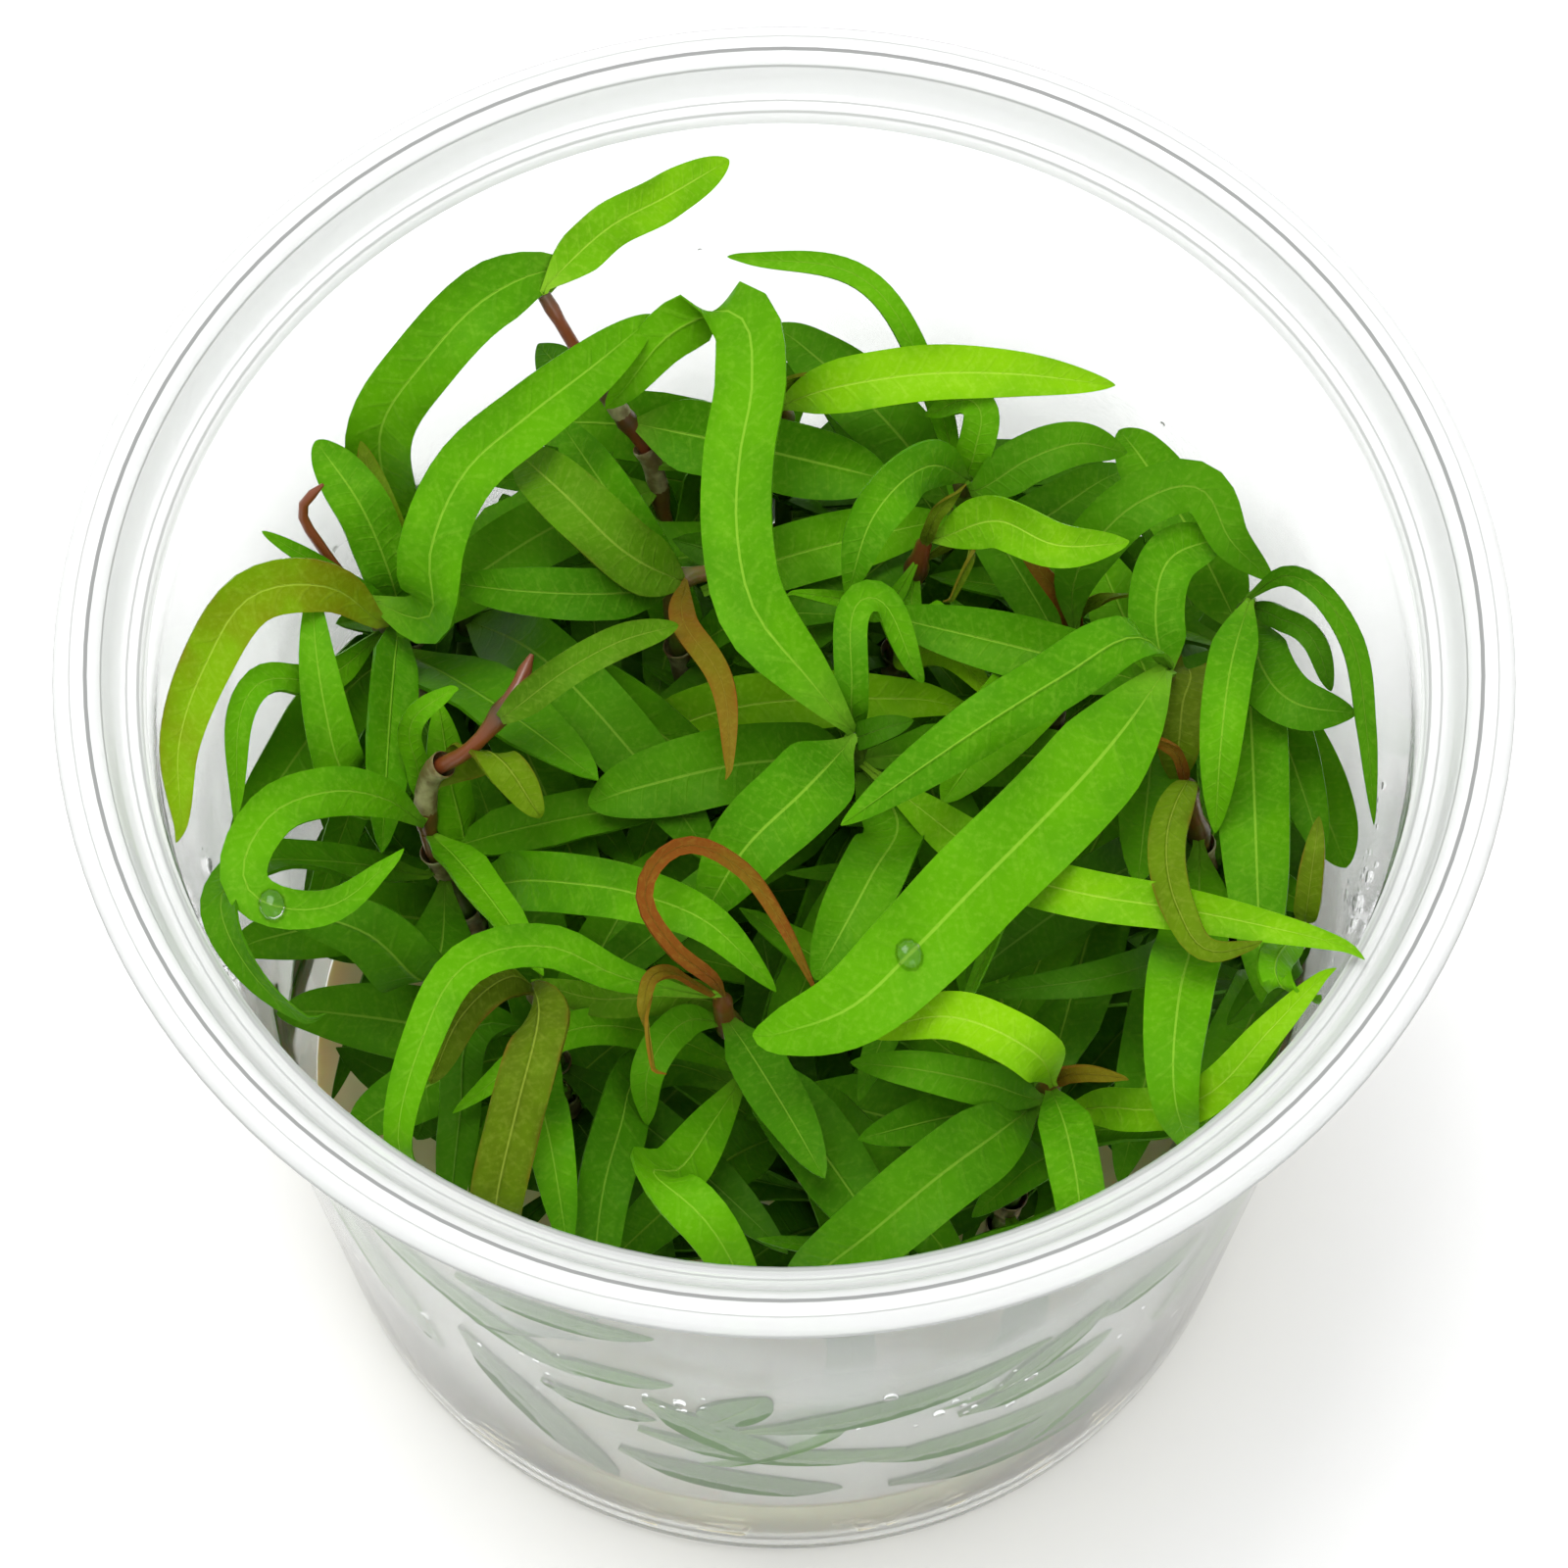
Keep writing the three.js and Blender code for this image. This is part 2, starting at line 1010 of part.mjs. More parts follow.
    width: 2.8,
    line: [
      [722, 1012, 77],
      [688, 1016, 79],
      [612, 1019, 80.2],
      [566, 1012, 80.2],
      [542, 1000, 79.6],
    ],
  },
  {
    name: "leaf_left_bright",
    stem: "stem_left",
    tone: "bright",
    width: 4.2,
    line: [
      [490, 902, 64],
      [530, 898, 71],
      [592, 902, 76.6],
      [664, 916, 79.6],
      [736, 950, 79.6],
      [792, 1012, 77],
    ],
  },
  {
    name: "leaf_centre_broad",
    stem: "stem_centre",
    tone: "bright",
    width: 5.8,
    line: [
      [862, 762, 77],
      [838, 790, 79],
      [790, 836, 79.4],
      [740, 890, 78],
      [716, 940, 75],
    ],
  },
  {
    stem: "stem_centre",
    tone: "green",
    width: 2.4,
    line: [
      [872, 724, 78],
      [868, 688, 80],
      [868, 640, 81],
      [886, 610, 81],
      [910, 642, 80],
      [942, 697, 77],
    ],
  },
  {
    stem: "stem_centre",
    tone: "dark",
    width: 2,
    line: [
      [884, 750, 78],
      [906, 742, 79.4],
      [932, 735, 79.4],
    ],
  },
  {
    name: "leaf_right_vertical",
    stem: "stem_right",
    tone: "bright",
    width: 4.9,
    line: [
      [1222, 944, 74],
      [1210, 985, 78],
      [1200, 1040, 80.4],
      [1196, 1095, 80.4],
      [1208, 1150, 78.4],
      [1232, 1192, 74],
    ],
  },
  {
    name: "leaf_right_edge",
    stem: "stem_front_right",
    tone: "lime",
    width: 3,
    line: [
      [1160, 1128, 76],
      [1232, 1136, 80],
      [1290, 1092, 82.6],
      [1346, 1046, 84],
      [1386, 1000, 84],
    ],
  },
  {
    stem: "stem_wall_right",
    tone: "olive",
    width: 1.8,
    line: [
      [1334, 926, 81],
      [1340, 880, 83.4],
      [1346, 833, 84.4],
    ],
  },
  {
    stem: "stem_wall_right",
    tone: "green",
    width: 2.6,
    line: [
      [1334, 962, 79],
      [1304, 984, 81.4],
      [1300, 1024, 82.6],
      [1332, 1046, 81.6],
      [1352, 1018, 79.6],
    ],
  },
  {
    name: "leaf_wavy",
    stem: "stem_front_right",
    tone: "lime",
    width: 3.7,
    line: [
      [1068, 1092, 77],
      [1040, 1062, 80],
      [986, 1040, 81],
      [930, 1040, 80.4],
      [880, 1056, 78],
    ],
  },
  {
    stem: "stem_centre",
    tone: "bright",
    width: 1.5,
    roll: 30,
    line: [
      [1040, 890, 77],
      [1020, 942, 80],
      [990, 1004, 82],
      [970, 1064, 82.6],
    ],
  },
  {
    name: "leaf_right_upright",
    stem: "stem_far_right",
    tone: "bright",
    width: 3.3,
    line: [
      [1272, 624, 79],
      [1256, 680, 81],
      [1246, 760, 80.6],
      [1240, 850, 76.4],
    ],
  },
  {
    name: "leaf_olive_right",
    stem: "stem_right_middle",
    tone: "olive",
    width: 3.7,
    line: [
      [1202, 694, 78],
      [1206, 724, 79],
      [1203, 760, 78.4],
      [1200, 800, 76],
    ],
  },
  {
    name: "leaf_far_right",
    stem: "stem_far_right",
    tone: "green",
    width: 4.4,
    line: [
      [1284, 650, 76],
      [1292, 690, 78],
      [1330, 722, 79],
      [1384, 728, 78],
    ],
  },
  {
    stem: "stem_far_right",
    tone: "dark",
    width: 1.7,
    line: [
      [1286, 630, 77],
      [1318, 632, 80],
      [1344, 658, 80.4],
      [1358, 705, 78],
    ],
  },
  {
    name: "leaf_back_right",
    stem: "stem_back_right",
    tone: "green",
    width: 3.6,
    line: [
      [1006, 494, 78],
      [1060, 464, 80],
      [1108, 452, 80],
      [1150, 462, 78.4],
    ],
  },
  {
    stem: "stem_right_middle",
    tone: "green",
    width: 4,
    line: [
      [1184, 650, 78],
      [1176, 606, 79.6],
      [1202, 562, 80],
      [1246, 548, 79],
    ],
  },
  {
    stem: "stem_young",
    tone: "red",
    width: 1.5,
    line: [
      [1094, 632, 76],
      [1078, 604, 79.6],
      [1056, 576, 81.4],
      [1038, 558, 82],
    ],
  },
  {
    stem: "stem_young",
    tone: "olive",
    width: 1.2,
    line: [
      [1100, 632, 76],
      [1108, 608, 79],
      [1132, 598, 80.4],
      [1176, 608, 80.4],
    ],
  },
  {
    stem: "stem_centre_right",
    tone: "green",
    width: 3.2,
    line: [
      [926, 620, 72],
      [944, 616, 75],
      [966, 636, 76],
      [990, 660, 74],
    ],
  },
  {
    stem: "stem_centre_right",
    tone: "green",
    width: 1.4,
    line: [
      [900, 622, 73],
      [862, 612, 77],
      [838, 594, 79],
      [802, 608, 79],
    ],
  },
  {
    stem: "stem_centre_right",
    tone: "bright",
    width: 2.4,
    line: [
      [936, 672, 68],
      [975, 668, 72],
      [1004, 688, 73],
      [1018, 722, 71],
    ],
  },
  {
    name: "leaf_wall_left",
    stem: "stem_left",
    tone: "green",
    width: 3.4,
    roll: 58,
    line: [
      [330, 880, 74],
      [246, 888, 81],
      [214, 928, 83.4],
      [220, 984, 84],
      [246, 1024, 84],
      [287, 1046, 83.6],
      [333, 1034, 83],
    ],
  },
  {
    name: "leaf_left_vertical",
    stem: "stem_left_red",
    tone: "bright",
    width: 3.8,
    sections: 8,
    line: [
      [384, 810, 68],
      [350, 790, 73],
      [334, 735, 76],
      [322, 660, 78],
      [318, 592, 78.6],
    ],
  },
  {
    stem: "stem_left_red",
    tone: "green",
    width: 2.3,
    line: [
      [340, 690, 75],
      [298, 684, 79],
      [262, 694, 80.4],
      [246, 740, 80],
      [240, 840, 77],
    ],
  },
  {
    stem: "stem_left",
    tone: "bright",
    width: 3.5,
    line: [
      [476, 885, 62],
      [468, 850, 67],
      [458, 790, 71],
      [447, 715, 74],
    ],
  },
  {
    stem: "stem_left_red",
    tone: "lime",
    width: 2.7,
    line: [
      [398, 800, 65],
      [396, 755, 69],
      [400, 705, 71.4],
    ],
  },
  {
    stem: "stem_left",
    tone: "olive",
    width: 2.9,
    line: [
      [498, 762, 76],
      [516, 784, 78],
      [534, 806, 78],
      [552, 834, 76],
    ],
  },
  {
    stem: "stem_left",
    tone: "green",
    width: 1.7,
    line: [
      [424, 770, 74],
      [420, 735, 77],
      [436, 708, 78.6],
      [468, 703, 78.6],
    ],
  },
  {
    name: "leaf_left_low_broad",
    stem: "stem_left",
    tone: "green",
    width: 5.3,
    line: [
      [440, 1005, 68],
      [402, 968, 74],
      [332, 934, 77],
      [262, 922, 76.4],
    ],
  },
  {
    stem: "stem_front_left",
    tone: "olive",
    width: 2.8,
    line: [
      [542, 990, 77],
      [506, 1006, 78.4],
      [456, 1056, 79],
      [440, 1106, 77.4],
    ],
  },
  {
    stem: "stem_front",
    tone: "bright",
    width: 2.7,
    line: [
      [620, 1040, 72],
      [561, 1062, 75.6],
      [510, 1097, 77],
      [462, 1136, 76],
    ],
  },
  {
    stem: "stem_front",
    tone: "green",
    width: 2.6,
    line: [
      [722, 1030, 74],
      [680, 1062, 76],
      [657, 1104, 75],
      [661, 1148, 72],
    ],
  },
  {
    name: "leaf_front_bright",
    stem: "stem_front",
    tone: "bright",
    width: 4,
    line: [
      [690, 1196, 72],
      [666, 1200, 77],
      [696, 1222, 79],
      [733, 1262, 78],
      [754, 1310, 74],
      [764, 1360, 67],
    ],
  },
  {
    name: "leaf_front_low",
    stem: "stem_front",
    tone: "green",
    width: 4.1,
    line: [
      [668, 1084, 66],
      [632, 1150, 73],
      [614, 1220, 74.6],
      [607, 1290, 71],
      [606, 1350, 63],
    ],
  },
  {
    stem: "stem_front_left",
    tone: "green",
    width: 3.4,
    line: [
      [548, 1092, 72],
      [558, 1150, 75.6],
      [570, 1210, 75.6],
      [580, 1280, 71],
    ],
  },
  {
    name: "leaf_front_right_broad",
    stem: "stem_front_right",
    tone: "green",
    width: 5.4,
    line: [
      [1046, 1136, 71],
      [1010, 1162, 75],
      [953, 1204, 77],
      [894, 1252, 76.4],
      [842, 1312, 73],
      [806, 1370, 65],
    ],
  },
  {
    name: "leaf_front_right_long",
    stem: "stem_front_right",
    tone: "green",
    width: 3.1,
    line: [
      [1050, 1120, 72],
      [994, 1102, 76],
      [930, 1090, 77.4],
      [868, 1084, 76],
    ],
  },
  {
    stem: "stem_front_right",
    tone: "bright",
    width: 3.7,
    line: [
      [1082, 1130, 73],
      [1093, 1180, 76.4],
      [1106, 1245, 75],
      [1116, 1310, 69],
    ],
  },
  {
    stem: "stem_front_right",
    tone: "red",
    width: 1.3,
    line: [
      [1088, 1098, 75.6],
      [1118, 1092, 78.4],
      [1152, 1102, 79],
    ],
  },
  {
    stem: "stem_wall_right",
    tone: "dark",
    width: 2.8,
    line: [
      [1318, 976, 76],
      [1290, 1002, 77],
      [1252, 1046, 75],
    ],
  },
  {
    stem: "stem_right",
    tone: "dark",
    width: 2.8,
    line: [
      [1200, 966, 68],
      [1140, 994, 74],
      [1060, 1008, 75],
      [990, 1014, 73],
    ],
  },
  {
    stem: "stem_front_left",
    tone: "olive",
    width: 1.3,
    line: [
      [440, 1060, 74],
      [400, 1050, 78.4],
      [352, 1050, 80.4],
      [298, 1096, 80],
    ],
  },
  {
    stem: "stem_front_left",
    tone: "dark",
    width: 3,
    line: [
      [500, 1030, 70],
      [476, 1108, 74],
      [458, 1205, 74],
      [452, 1260, 70],
    ],
  },
  {
    stem: "stem_centre",
    tone: "bright",
    width: 4.8,
    line: [
      [916, 835, 72],
      [894, 885, 76],
      [862, 945, 77],
      [832, 1000, 75],
    ],
  },
  {
    stem: "stem_centre",
    tone: "green",
    width: 2.8,
    line: [
      [916, 1010, 68],
      [892, 1076, 73],
      [876, 1124, 72],
    ],
  },
  {
    stem: "stem_front",
    tone: "bright",
    width: 2.3,
    line: [
      [836, 1200, 52],
      [850, 1218, 56],
      [874, 1244, 58],
    ],
  },
  {
    stem: "stem_front",
    tone: "green",
    width: 1.8,
    line: [
      [850, 1262, 62],
      [815, 1270, 67],
      [772, 1264, 69],
    ],
  },
  {
    stem: "stem_front_right",
    tone: "green",
    width: 3,
    line: [
      [1072, 1170, 66],
      [1036, 1202, 70],
      [992, 1242, 70],
    ],
  },
  {
    stem: "stem_front_right",
    tone: "green",
    width: 2.2,
    line: [
      [1076, 1250, 62],
      [1016, 1260, 67],
      [958, 1286, 67],
    ],
  },
  {
    stem: "stem_front",
    tone: "bright",
    width: 3.6,
    line: [
      [850, 1440],
      [800, 1464],
      [748, 1476],
      [700, 1482],
    ],
  },
  {
    stem: "stem_front_right",
    tone: "bright",
    width: 3.2,
    line: [
      [1050, 1380],
      [1010, 1408],
      [960, 1424],
      [912, 1440],
    ],
  },
  {
    stem: "stem_front_left",
    tone: "green",
    width: 1.8,
    line: [
      [470, 1320],
      [520, 1344],
      [560, 1352],
      [598, 1362],
    ],
  },
];

// A stem as a curve, with what is needed to find a height on it.
function stemCurve(stem) {
  const points = [
    ...stem.at.map(([x, y, z]) => new THREE.Vector3(x, y, z)),
    ...stem.seen.map(([across, down, height]) => seen(across, down, height)),
  ];
  return new THREE.CatmullRomCurve3(points, false, "centripetal");
}

function shareAtHeight(curve, height) {
  let low = 0;
  let high = 1;
  for (let step = 0; step < 30; step++) {
    const middle = (low + high) / 2;
    if (curve.getPointAt(middle).z < height) low = middle;
    else high = middle;
  }
  return low;
}

function stemRadius(stem, share) {
  return THREE.MathUtils.lerp(stem.radius[0], stem.radius[1], share);
}

// A tube of rings along a curve, from stations of [share of the length, radius].
function tube(curve, stations, sides = STEM_SIDES) {
  let side = EYE_RIGHT.clone();
  const rings = stations.map(([share, radius]) => {
    const middle = curve.getPointAt(share);
    const along = curve.getTangentAt(share);
    side = side.addScaledVector(along, -side.dot(along)).normalize();
    const other = along.clone().cross(side);
    return Array.from({ length: sides }, (_, i) => {
      const angle = (2 * Math.PI * i) / sides;
      return middle
        .clone()
        .addScaledVector(side, radius * Math.cos(angle))
        .addScaledVector(other, radius * Math.sin(angle));
    });
  });
  return loft(rings);
}

// The stations of a stem: even steps, and a step out and in for each sheath.
function stemStations(stem, curve) {
  const length = curve.getLength();
  const steps = Math.max(4, Math.round(length / STEM_STEP));
  const plain = Array.from({ length: steps + 1 }, (_, i) => i / steps);
  const sheaths = stem.sheaths.map((height) => {
    const low = shareAtHeight(curve, height);
    return [low, Math.min(0.97, low + SHEATH_LENGTH / length)];
  });
  const clear = plain.filter((share) =>
    sheaths.every(([low, high]) => share < low - 0.025 || share > high + 0.025),
  );
  const stations = clear.map((share) => [share, stemRadius(stem, share)]);
  for (const [low, high] of sheaths) {
    const radius = stemRadius(stem, low);
    stations.push([low - 0.012, radius], [low, radius + SHEATH_SWELL * 0.7]);
    stations.push([high, radius + SHEATH_SWELL], [high + 0.006, radius]);
  }
  return stations.sort((a, b) => a[0] - b[0]);
}

// The square hole that a stem's foot stands in.
function socketSolid(stem, curve) {
  const top = shareAtHeight(curve, GEL_TOP + 2);
  const radius = (stem.radius[0] + GAP + 0.05) / Math.cos(Math.PI / SOCKET_SIDES);
  const tilt = curve.getTangentAt(0);
  const start = curve.getPointAt(0).addScaledVector(tilt, SOCKET_FLOOR - STEM_FOOT);
  const line = new THREE.LineCurve3(start, curve.getPointAt(top));
  const stations = [
    [0, radius],
    [1, radius],
  ];
  return toSolid(tube(line, stations, SOCKET_SIDES));
}

// The width of a blade along its length, as a share of its greatest width.
function bladeShare(share) {
  if (share < WIDEST_FROM) return Math.pow(share / WIDEST_FROM, 0.7);
  if (share < WIDEST_TO) return 1;
  const past = (share - WIDEST_TO) / (1 - WIDEST_TO);
  return Math.pow(1 - Math.pow(past, 2.4), 0.6);
}

// How far a ring's points stand outside the room in the cup, and above its gel.
function outside(ring) {
  let over = 0;
  for (const point of ring)
    over = Math.max(over, Math.hypot(point.x, point.y) - roomRadius(point.z));
  return over;
}

// The points of a blade's section at a station: its edges, and its faces between them. A blade with
// three corners has only its lower face between its edges.
function sectionRing({ middle, side, face, width, thickness, corners }, swell) {
  const half = (width + swell) / 2;
  const lift = EDGE_LIFT * width;
  const ring = [
    middle.clone().addScaledVector(side, half).addScaledVector(face, lift),
    middle.clone().addScaledVector(face, (thickness + swell) / 2),
    middle.clone().addScaledVector(side, -half).addScaledVector(face, lift),
    middle.clone().addScaledVector(face, -(thickness + swell) / 2),
  ];
  if (corners === 3) ring.splice(1, 1);
  const over = outside(ring);
  if (over > 0) {
    const inward = new THREE.Vector3(-middle.x, -middle.y, 0).normalize();
    for (const point of ring) point.addScaledVector(inward, over);
  }
  return ring;
}

function tetrahedron(a, b, c, d) {
  return b.clone().sub(a).cross(c.clone().sub(a)).dot(d.clone().sub(a)) / 6;
}

// A point inside a section: midway between its faces, or the middle of its three corners.
function heart(ring) {
  if (ring.length === 4) return ring[1].clone().lerp(ring[3], 0.5);
  return ring[0].clone().add(ring[1]).add(ring[2]).divideScalar(3);
}

// The least volume among the tetrahedra between two sections, or a section and the tip. In a tight
// turn of a wide blade some would turn inside out.
function leastPart(before, after, tip) {
  const start = heart(before);
  const end = tip ?? heart(after);
  const parts = before.flatMap((a, i) => {
    const b = before[(i + 1) % before.length];
    if (tip) return [tetrahedron(start, a, b, end)];
    const [c, d] = [after[i], after[(i + 1) % after.length]];
    const first = tetrahedron(start, a, b, end);
    if (i % 2) return [first, tetrahedron(a, c, b, end), tetrahedron(b, c, d, end)];
    return [first, tetrahedron(a, d, b, end), tetrahedron(a, c, d, end)];
  });
  return Math.min(...parts);
}

// The closed blade of a leaf along a curve. "swell" thickens it all round, for tests of room.
function blade(curve, leaf, swell) {
  const length = curve.getLength();
  const even = Math.round(length / (leaf.name ? SECTION_LENGTH : GROWN_SECTION_LENGTH));
  const sections = leaf.sections ?? THREE.MathUtils.clamp(even, FEWEST_SECTIONS, MOST_SECTIONS);
  const lastRing = leaf.lastRing ?? LAST_RING_AT;
  const petioleWidth = leaf.petiole ?? PETIOLE_WIDTH;
  const roll = THREE.MathUtils.degToRad(leaf.roll ?? 0);
  const tip = curve.getPointAt(1);
  const over = outside([tip]);
  if (over > 0) tip.addScaledVector(new THREE.Vector3(-tip.x, -tip.y, 0).normalize(), over);
  let across = null;
  const rings = [];
  for (let i = 0; i < sections; i++) {
    const share = (lastRing * i) / (sections - 1);
    const middle = curve.getPointAt(share);
    const along = curve.getTangentAt(share);
    const side = EYE.clone().sub(middle).normalize().cross(along);
    if (across && side.dot(across) < 0) side.negate();
    if (across) side.addScaledVector(across, SIDE_HOLD);
    side.addScaledVector(along, -side.dot(along)).normalize();
    across = side.clone();
    side.applyAxisAngle(along, roll * Math.min(1, share * 4));
    const face = along.clone().cross(side);
    const petiole = Math.max(0, 1 - share * 6);
    const thickness = THREE.MathUtils.lerp(BLADE_THICKNESS, PETIOLE_THICKNESS, petiole);
    const width = Math.max(leaf.width * bladeShare(share), petioleWidth * (1 - share));
    const station = { middle, side, face, width, thickness, corners: leaf.corners };
    const last = i === sections - 1;
    const folds = (ring) =>
      (i > 0 && leastPart(rings[i - 1], ring) < LEAST_PART) ||
      (last && leastPart(ring, null, tip) < LEAST_PART);
    let ring = sectionRing(station, swell);
    while (station.width > LEAST_WIDTH_SHARE * width && folds(ring)) {
      station.width *= 0.9;
      ring = sectionRing(station, swell);
    }
    rings.push(ring);
  }
  return toSolid(loft(rings, tip, true));
}

// The points of a leaf's middle line when it has sunk away from the eye.
function sunkLine(leaf, sink) {
  return leaf.line.map(([across, down, height]) => {
    if (height === undefined) return seenOnWall(across, down);
    return seen(across, down, Math.max(height - sink, GEL_TOP + 2));
  });
}

// Where on its stem a leaf springs, so that it rises from the stem to its first seen point.
function springShare(curve, first) {
  let best = 0;
  let least = Infinity;
  for (let i = 20; i <= 100; i++) {
    const point = curve.getPointAt(i / 100);
    const level = Math.hypot(first.x - point.x, first.y - point.y);
    const cost = point.distanceTo(first) + 0.8 * Math.abs(first.z - 0.6 * level - point.z);
    if (cost < least) {
      least = cost;
      best = i / 100;
    }
  }
  return best;
}

// The curve of a leaf from its stem to its tip.
function leafCurve(stem, points, share, fused) {
  const root = stem.curve.getPointAt(share);
  const along = stem.curve.getTangentAt(share);
  const towards = points[0].clone().sub(root).normalize();
  const away = towards.clone().addScaledVector(along, -towards.dot(along)).length();
  const radius = stemRadius(stem, share) + SHEATH_SWELL + GAP + PETIOLE_THICKNESS / 2;
  const offset = share > 0.97 && away < 0.6 ? GAP + 0.3 : radius / Math.max(away, 0.35);
  const start = fused ? root : root.clone().addScaledVector(towards, offset);
  const rest = points.filter((point) => point.distanceTo(start) > 1.2);
  return new THREE.CatmullRomCurve3([start, ...rest], false, "centripetal");
}

function boxesMeet(a, b) {
  return [0, 1, 2].every((i) => a.min[i] <= b.max[i] && b.min[i] <= a.max[i]);
}

const placed = [];

function isClear(solid, ownStem) {
  const box = solid.boundingBox();
  return placed.every(
    (other) =>
      (other.stem && other.stem === ownStem) ||
      !boxesMeet(box, other.box) ||
      solid.intersect(other.solid).surfaceArea() < TOUCH_AREA,
  );
}

function keep(solid, stem) {
  placed.push({ solid, box: solid.boundingBox(), stem });
}

// The cells of the eye's view that a leaf covers.
const filled = new Set();

function cellsUnder(curve, width) {
  const cells = new Set();
  for (let i = 1; i <= CELL_STEPS; i++) {
    const share = i / CELL_STEPS;
    const middle = placeOf(curve.getPointAt(share));
    const reach = (width * bladeShare(share) * PICTURE_FOCUS) / EYE_DISTANCE / 2;
    for (let across = -reach; across <= reach; across += CELL / 2)
      for (let down = -reach; down <= reach; down += CELL / 2)
        cells.add(`${Math.round((middle.x + across) / CELL)},${Math.round((middle.y + down) / CELL)}`);
  }
  return cells;
}

// How many faces of a solid look at its own inside, as where a tight turn folds a blade through itself.
function foldedFaces(solid) {
  const { numProp, vertProperties, triVerts } = solid.getMesh();
  const corner = (i) => new THREE.Vector3().fromArray(vertProperties, triVerts[i] * numProp);
  const faces = Array.from({ length: triVerts.length / 3 }, (_, i) =>
    new THREE.Triangle(corner(3 * i), corner(3 * i + 1), corner(3 * i + 2)),
  );
  return faces.filter((face) => {
    const normal = face.getNormal(new THREE.Vector3());
    const behind = face.getMidpoint(new THREE.Vector3()).addScaledVector(normal, -FOLD_PROBE);
    let turned = 0;
    for (const other of faces) {
      const [a, b, c] = [other.a, other.b, other.c].map((point) => point.clone().sub(behind));
      const [u, v, w] = [a.length(), b.length(), c.length()];
      const level = u * v * w + a.dot(b) * w + b.dot(c) * u + c.dot(a) * v;
      turned += 2 * Math.atan2(a.dot(b.cross(c)), level);
    }
    return turned < 2 * Math.PI;
  }).length;
}

// Makes and keeps a leaf's blade if it is clear of the others and, fused, grows out of its stem.
function placeBlade(curve, leaf, stem, fused) {
  const ownStem = fused ? stem.name : null;
  const solid = blade(curve, leaf, 0);
  if (!isClear(solid, ownStem) || !isClear(blade(curve, leaf, GAP), ownStem)) return null;
  const joined = solid.intersect(stem.solid).volume();
  if (fused ? joined < JOINED_VOLUME : joined > 1e-4) return null;
  if (foldedFaces(solid) > (fused ? MOST_FOLDED_GROWN : MOST_FOLDED)) return null;
  keep(solid, null);
  for (const cell of cellsUnder(curve, leaf.width)) filled.add(cell);
  return solid;
}

// Finds the place of a leaf at the greatest width at which there is room for it.
function settle(leaf, stems) {
  for (const scale of WIDTH_STEPS) {
    const solid = sinkLeaf({ ...leaf, width: scale * leaf.width }, stems);
    if (solid) return solid;
  }
  return null;
}

// Finds the highest place at which a leaf is clear of everything placed before it.
function sinkLeaf(leaf, stems) {
  const stem = stems.get(leaf.stem);
  const fused = !leaf.name;
  for (let step = 0; step < SINK_STEPS; step++) {
    const points = sunkLine(leaf, step * SINK_STEP);
    const spring = springShare(stem.curve, points[0]);
    for (const shift of ATTACH_STEPS) {
      const most = fused ? 1 - 1.2 / stem.length : 1;
      const share = THREE.MathUtils.clamp(spring + shift / stem.length, 0.15, most);
      const curve = leafCurve(stem, points, share, fused);
      const solid = placeBlade(curve, leaf, stem, fused);
      if (solid) return solid;
    }
  }
  return null;
}

// A leaf at a lower joint: it rises outwards from the stem and arches over.
function jointLeafCurve(root, turn, length, steepness = LOW_LEAF_RISE) {
  const angle = THREE.MathUtils.degToRad(turn);
  const out = new THREE.Vector3(Math.cos(angle), Math.sin(angle), 0);
  const steps = [
    [0, 0],
    [0.3, 0.7],
    [0.65, 1],
    [1, 0.75],
  ];
  const rise = Math.min(steepness * length, Math.max(1, CROWN_FLOOR - root.z));
  const points = steps.map(([reach, lift]) =>
    root
      .clone()
      .addScaledVector(out, reach * length)
      .add(new THREE.Vector3(0, 0, lift * rise)),
  );
  return new THREE.CatmullRomCurve3(points, false, "centripetal");
}

// Adds a leaf at a joint of a stem, turned to where it fills most of what is still open.
function growJointLeaf(stem, depth, order) {
  const root = stem.curve.getPointAt(shareAtHeight(stem.curve, stem.curve.getPointAt(1).z - depth));
  const size = 0.85 + 0.3 * ((order * 0.618) % 1);
  const width = LOW_LEAF_WIDTH * size;
  const leaf = { width, sections: LOW_LEAF_SECTIONS, lastRing: LOW_LEAF_LAST_RING };
  const choices = [];
  for (const scale of LOW_LEAF_SCALES)
    for (let turn = 0; turn < LOW_LEAF_TURNS; turn++) {
      const angle = ((turn + (order % 3) / 3) * 360) / LOW_LEAF_TURNS;
      const curve = jointLeafCurve(root, angle, LOW_LEAF_LENGTH * size * scale);
      const tip = curve.getPointAt(1);
      if (Math.hypot(tip.x, tip.y) > roomRadius(tip.z) + 3) continue;
      if (!insideTuft(tip) || !insideTuft(curve.getPointAt(0.6))) continue;
      const gain = [...cellsUnder(curve, leaf.width)].filter((cell) => !filled.has(cell)).length;
      if (gain >= LEAST_NEW_CELLS) choices.push({ curve, gain });
    }
  choices.sort((a, b) => b.gain - a.gain);
  for (const { curve } of choices) {
    const solid = placeBlade(curve, leaf, stem, true);
    if (!solid) continue;
    stem.leaves.push(solid);
    return;
  }
}

// The direction about Z in which the middle of a stem's face looks, in degrees.
function faceTurn(curve, share, face) {
  const along = curve.getTangentAt(share);
  const side = EYE_RIGHT.clone().addScaledVector(along, -along.x).normalize();
  const angle = (2 * Math.PI * (face + 0.5)) / STEM_SIDES;
  const out = side.clone().multiplyScalar(Math.cos(angle));
  out.addScaledVector(along.clone().cross(side), Math.sin(angle));
  return THREE.MathUtils.radToDeg(Math.atan2(out.y, out.x));
}

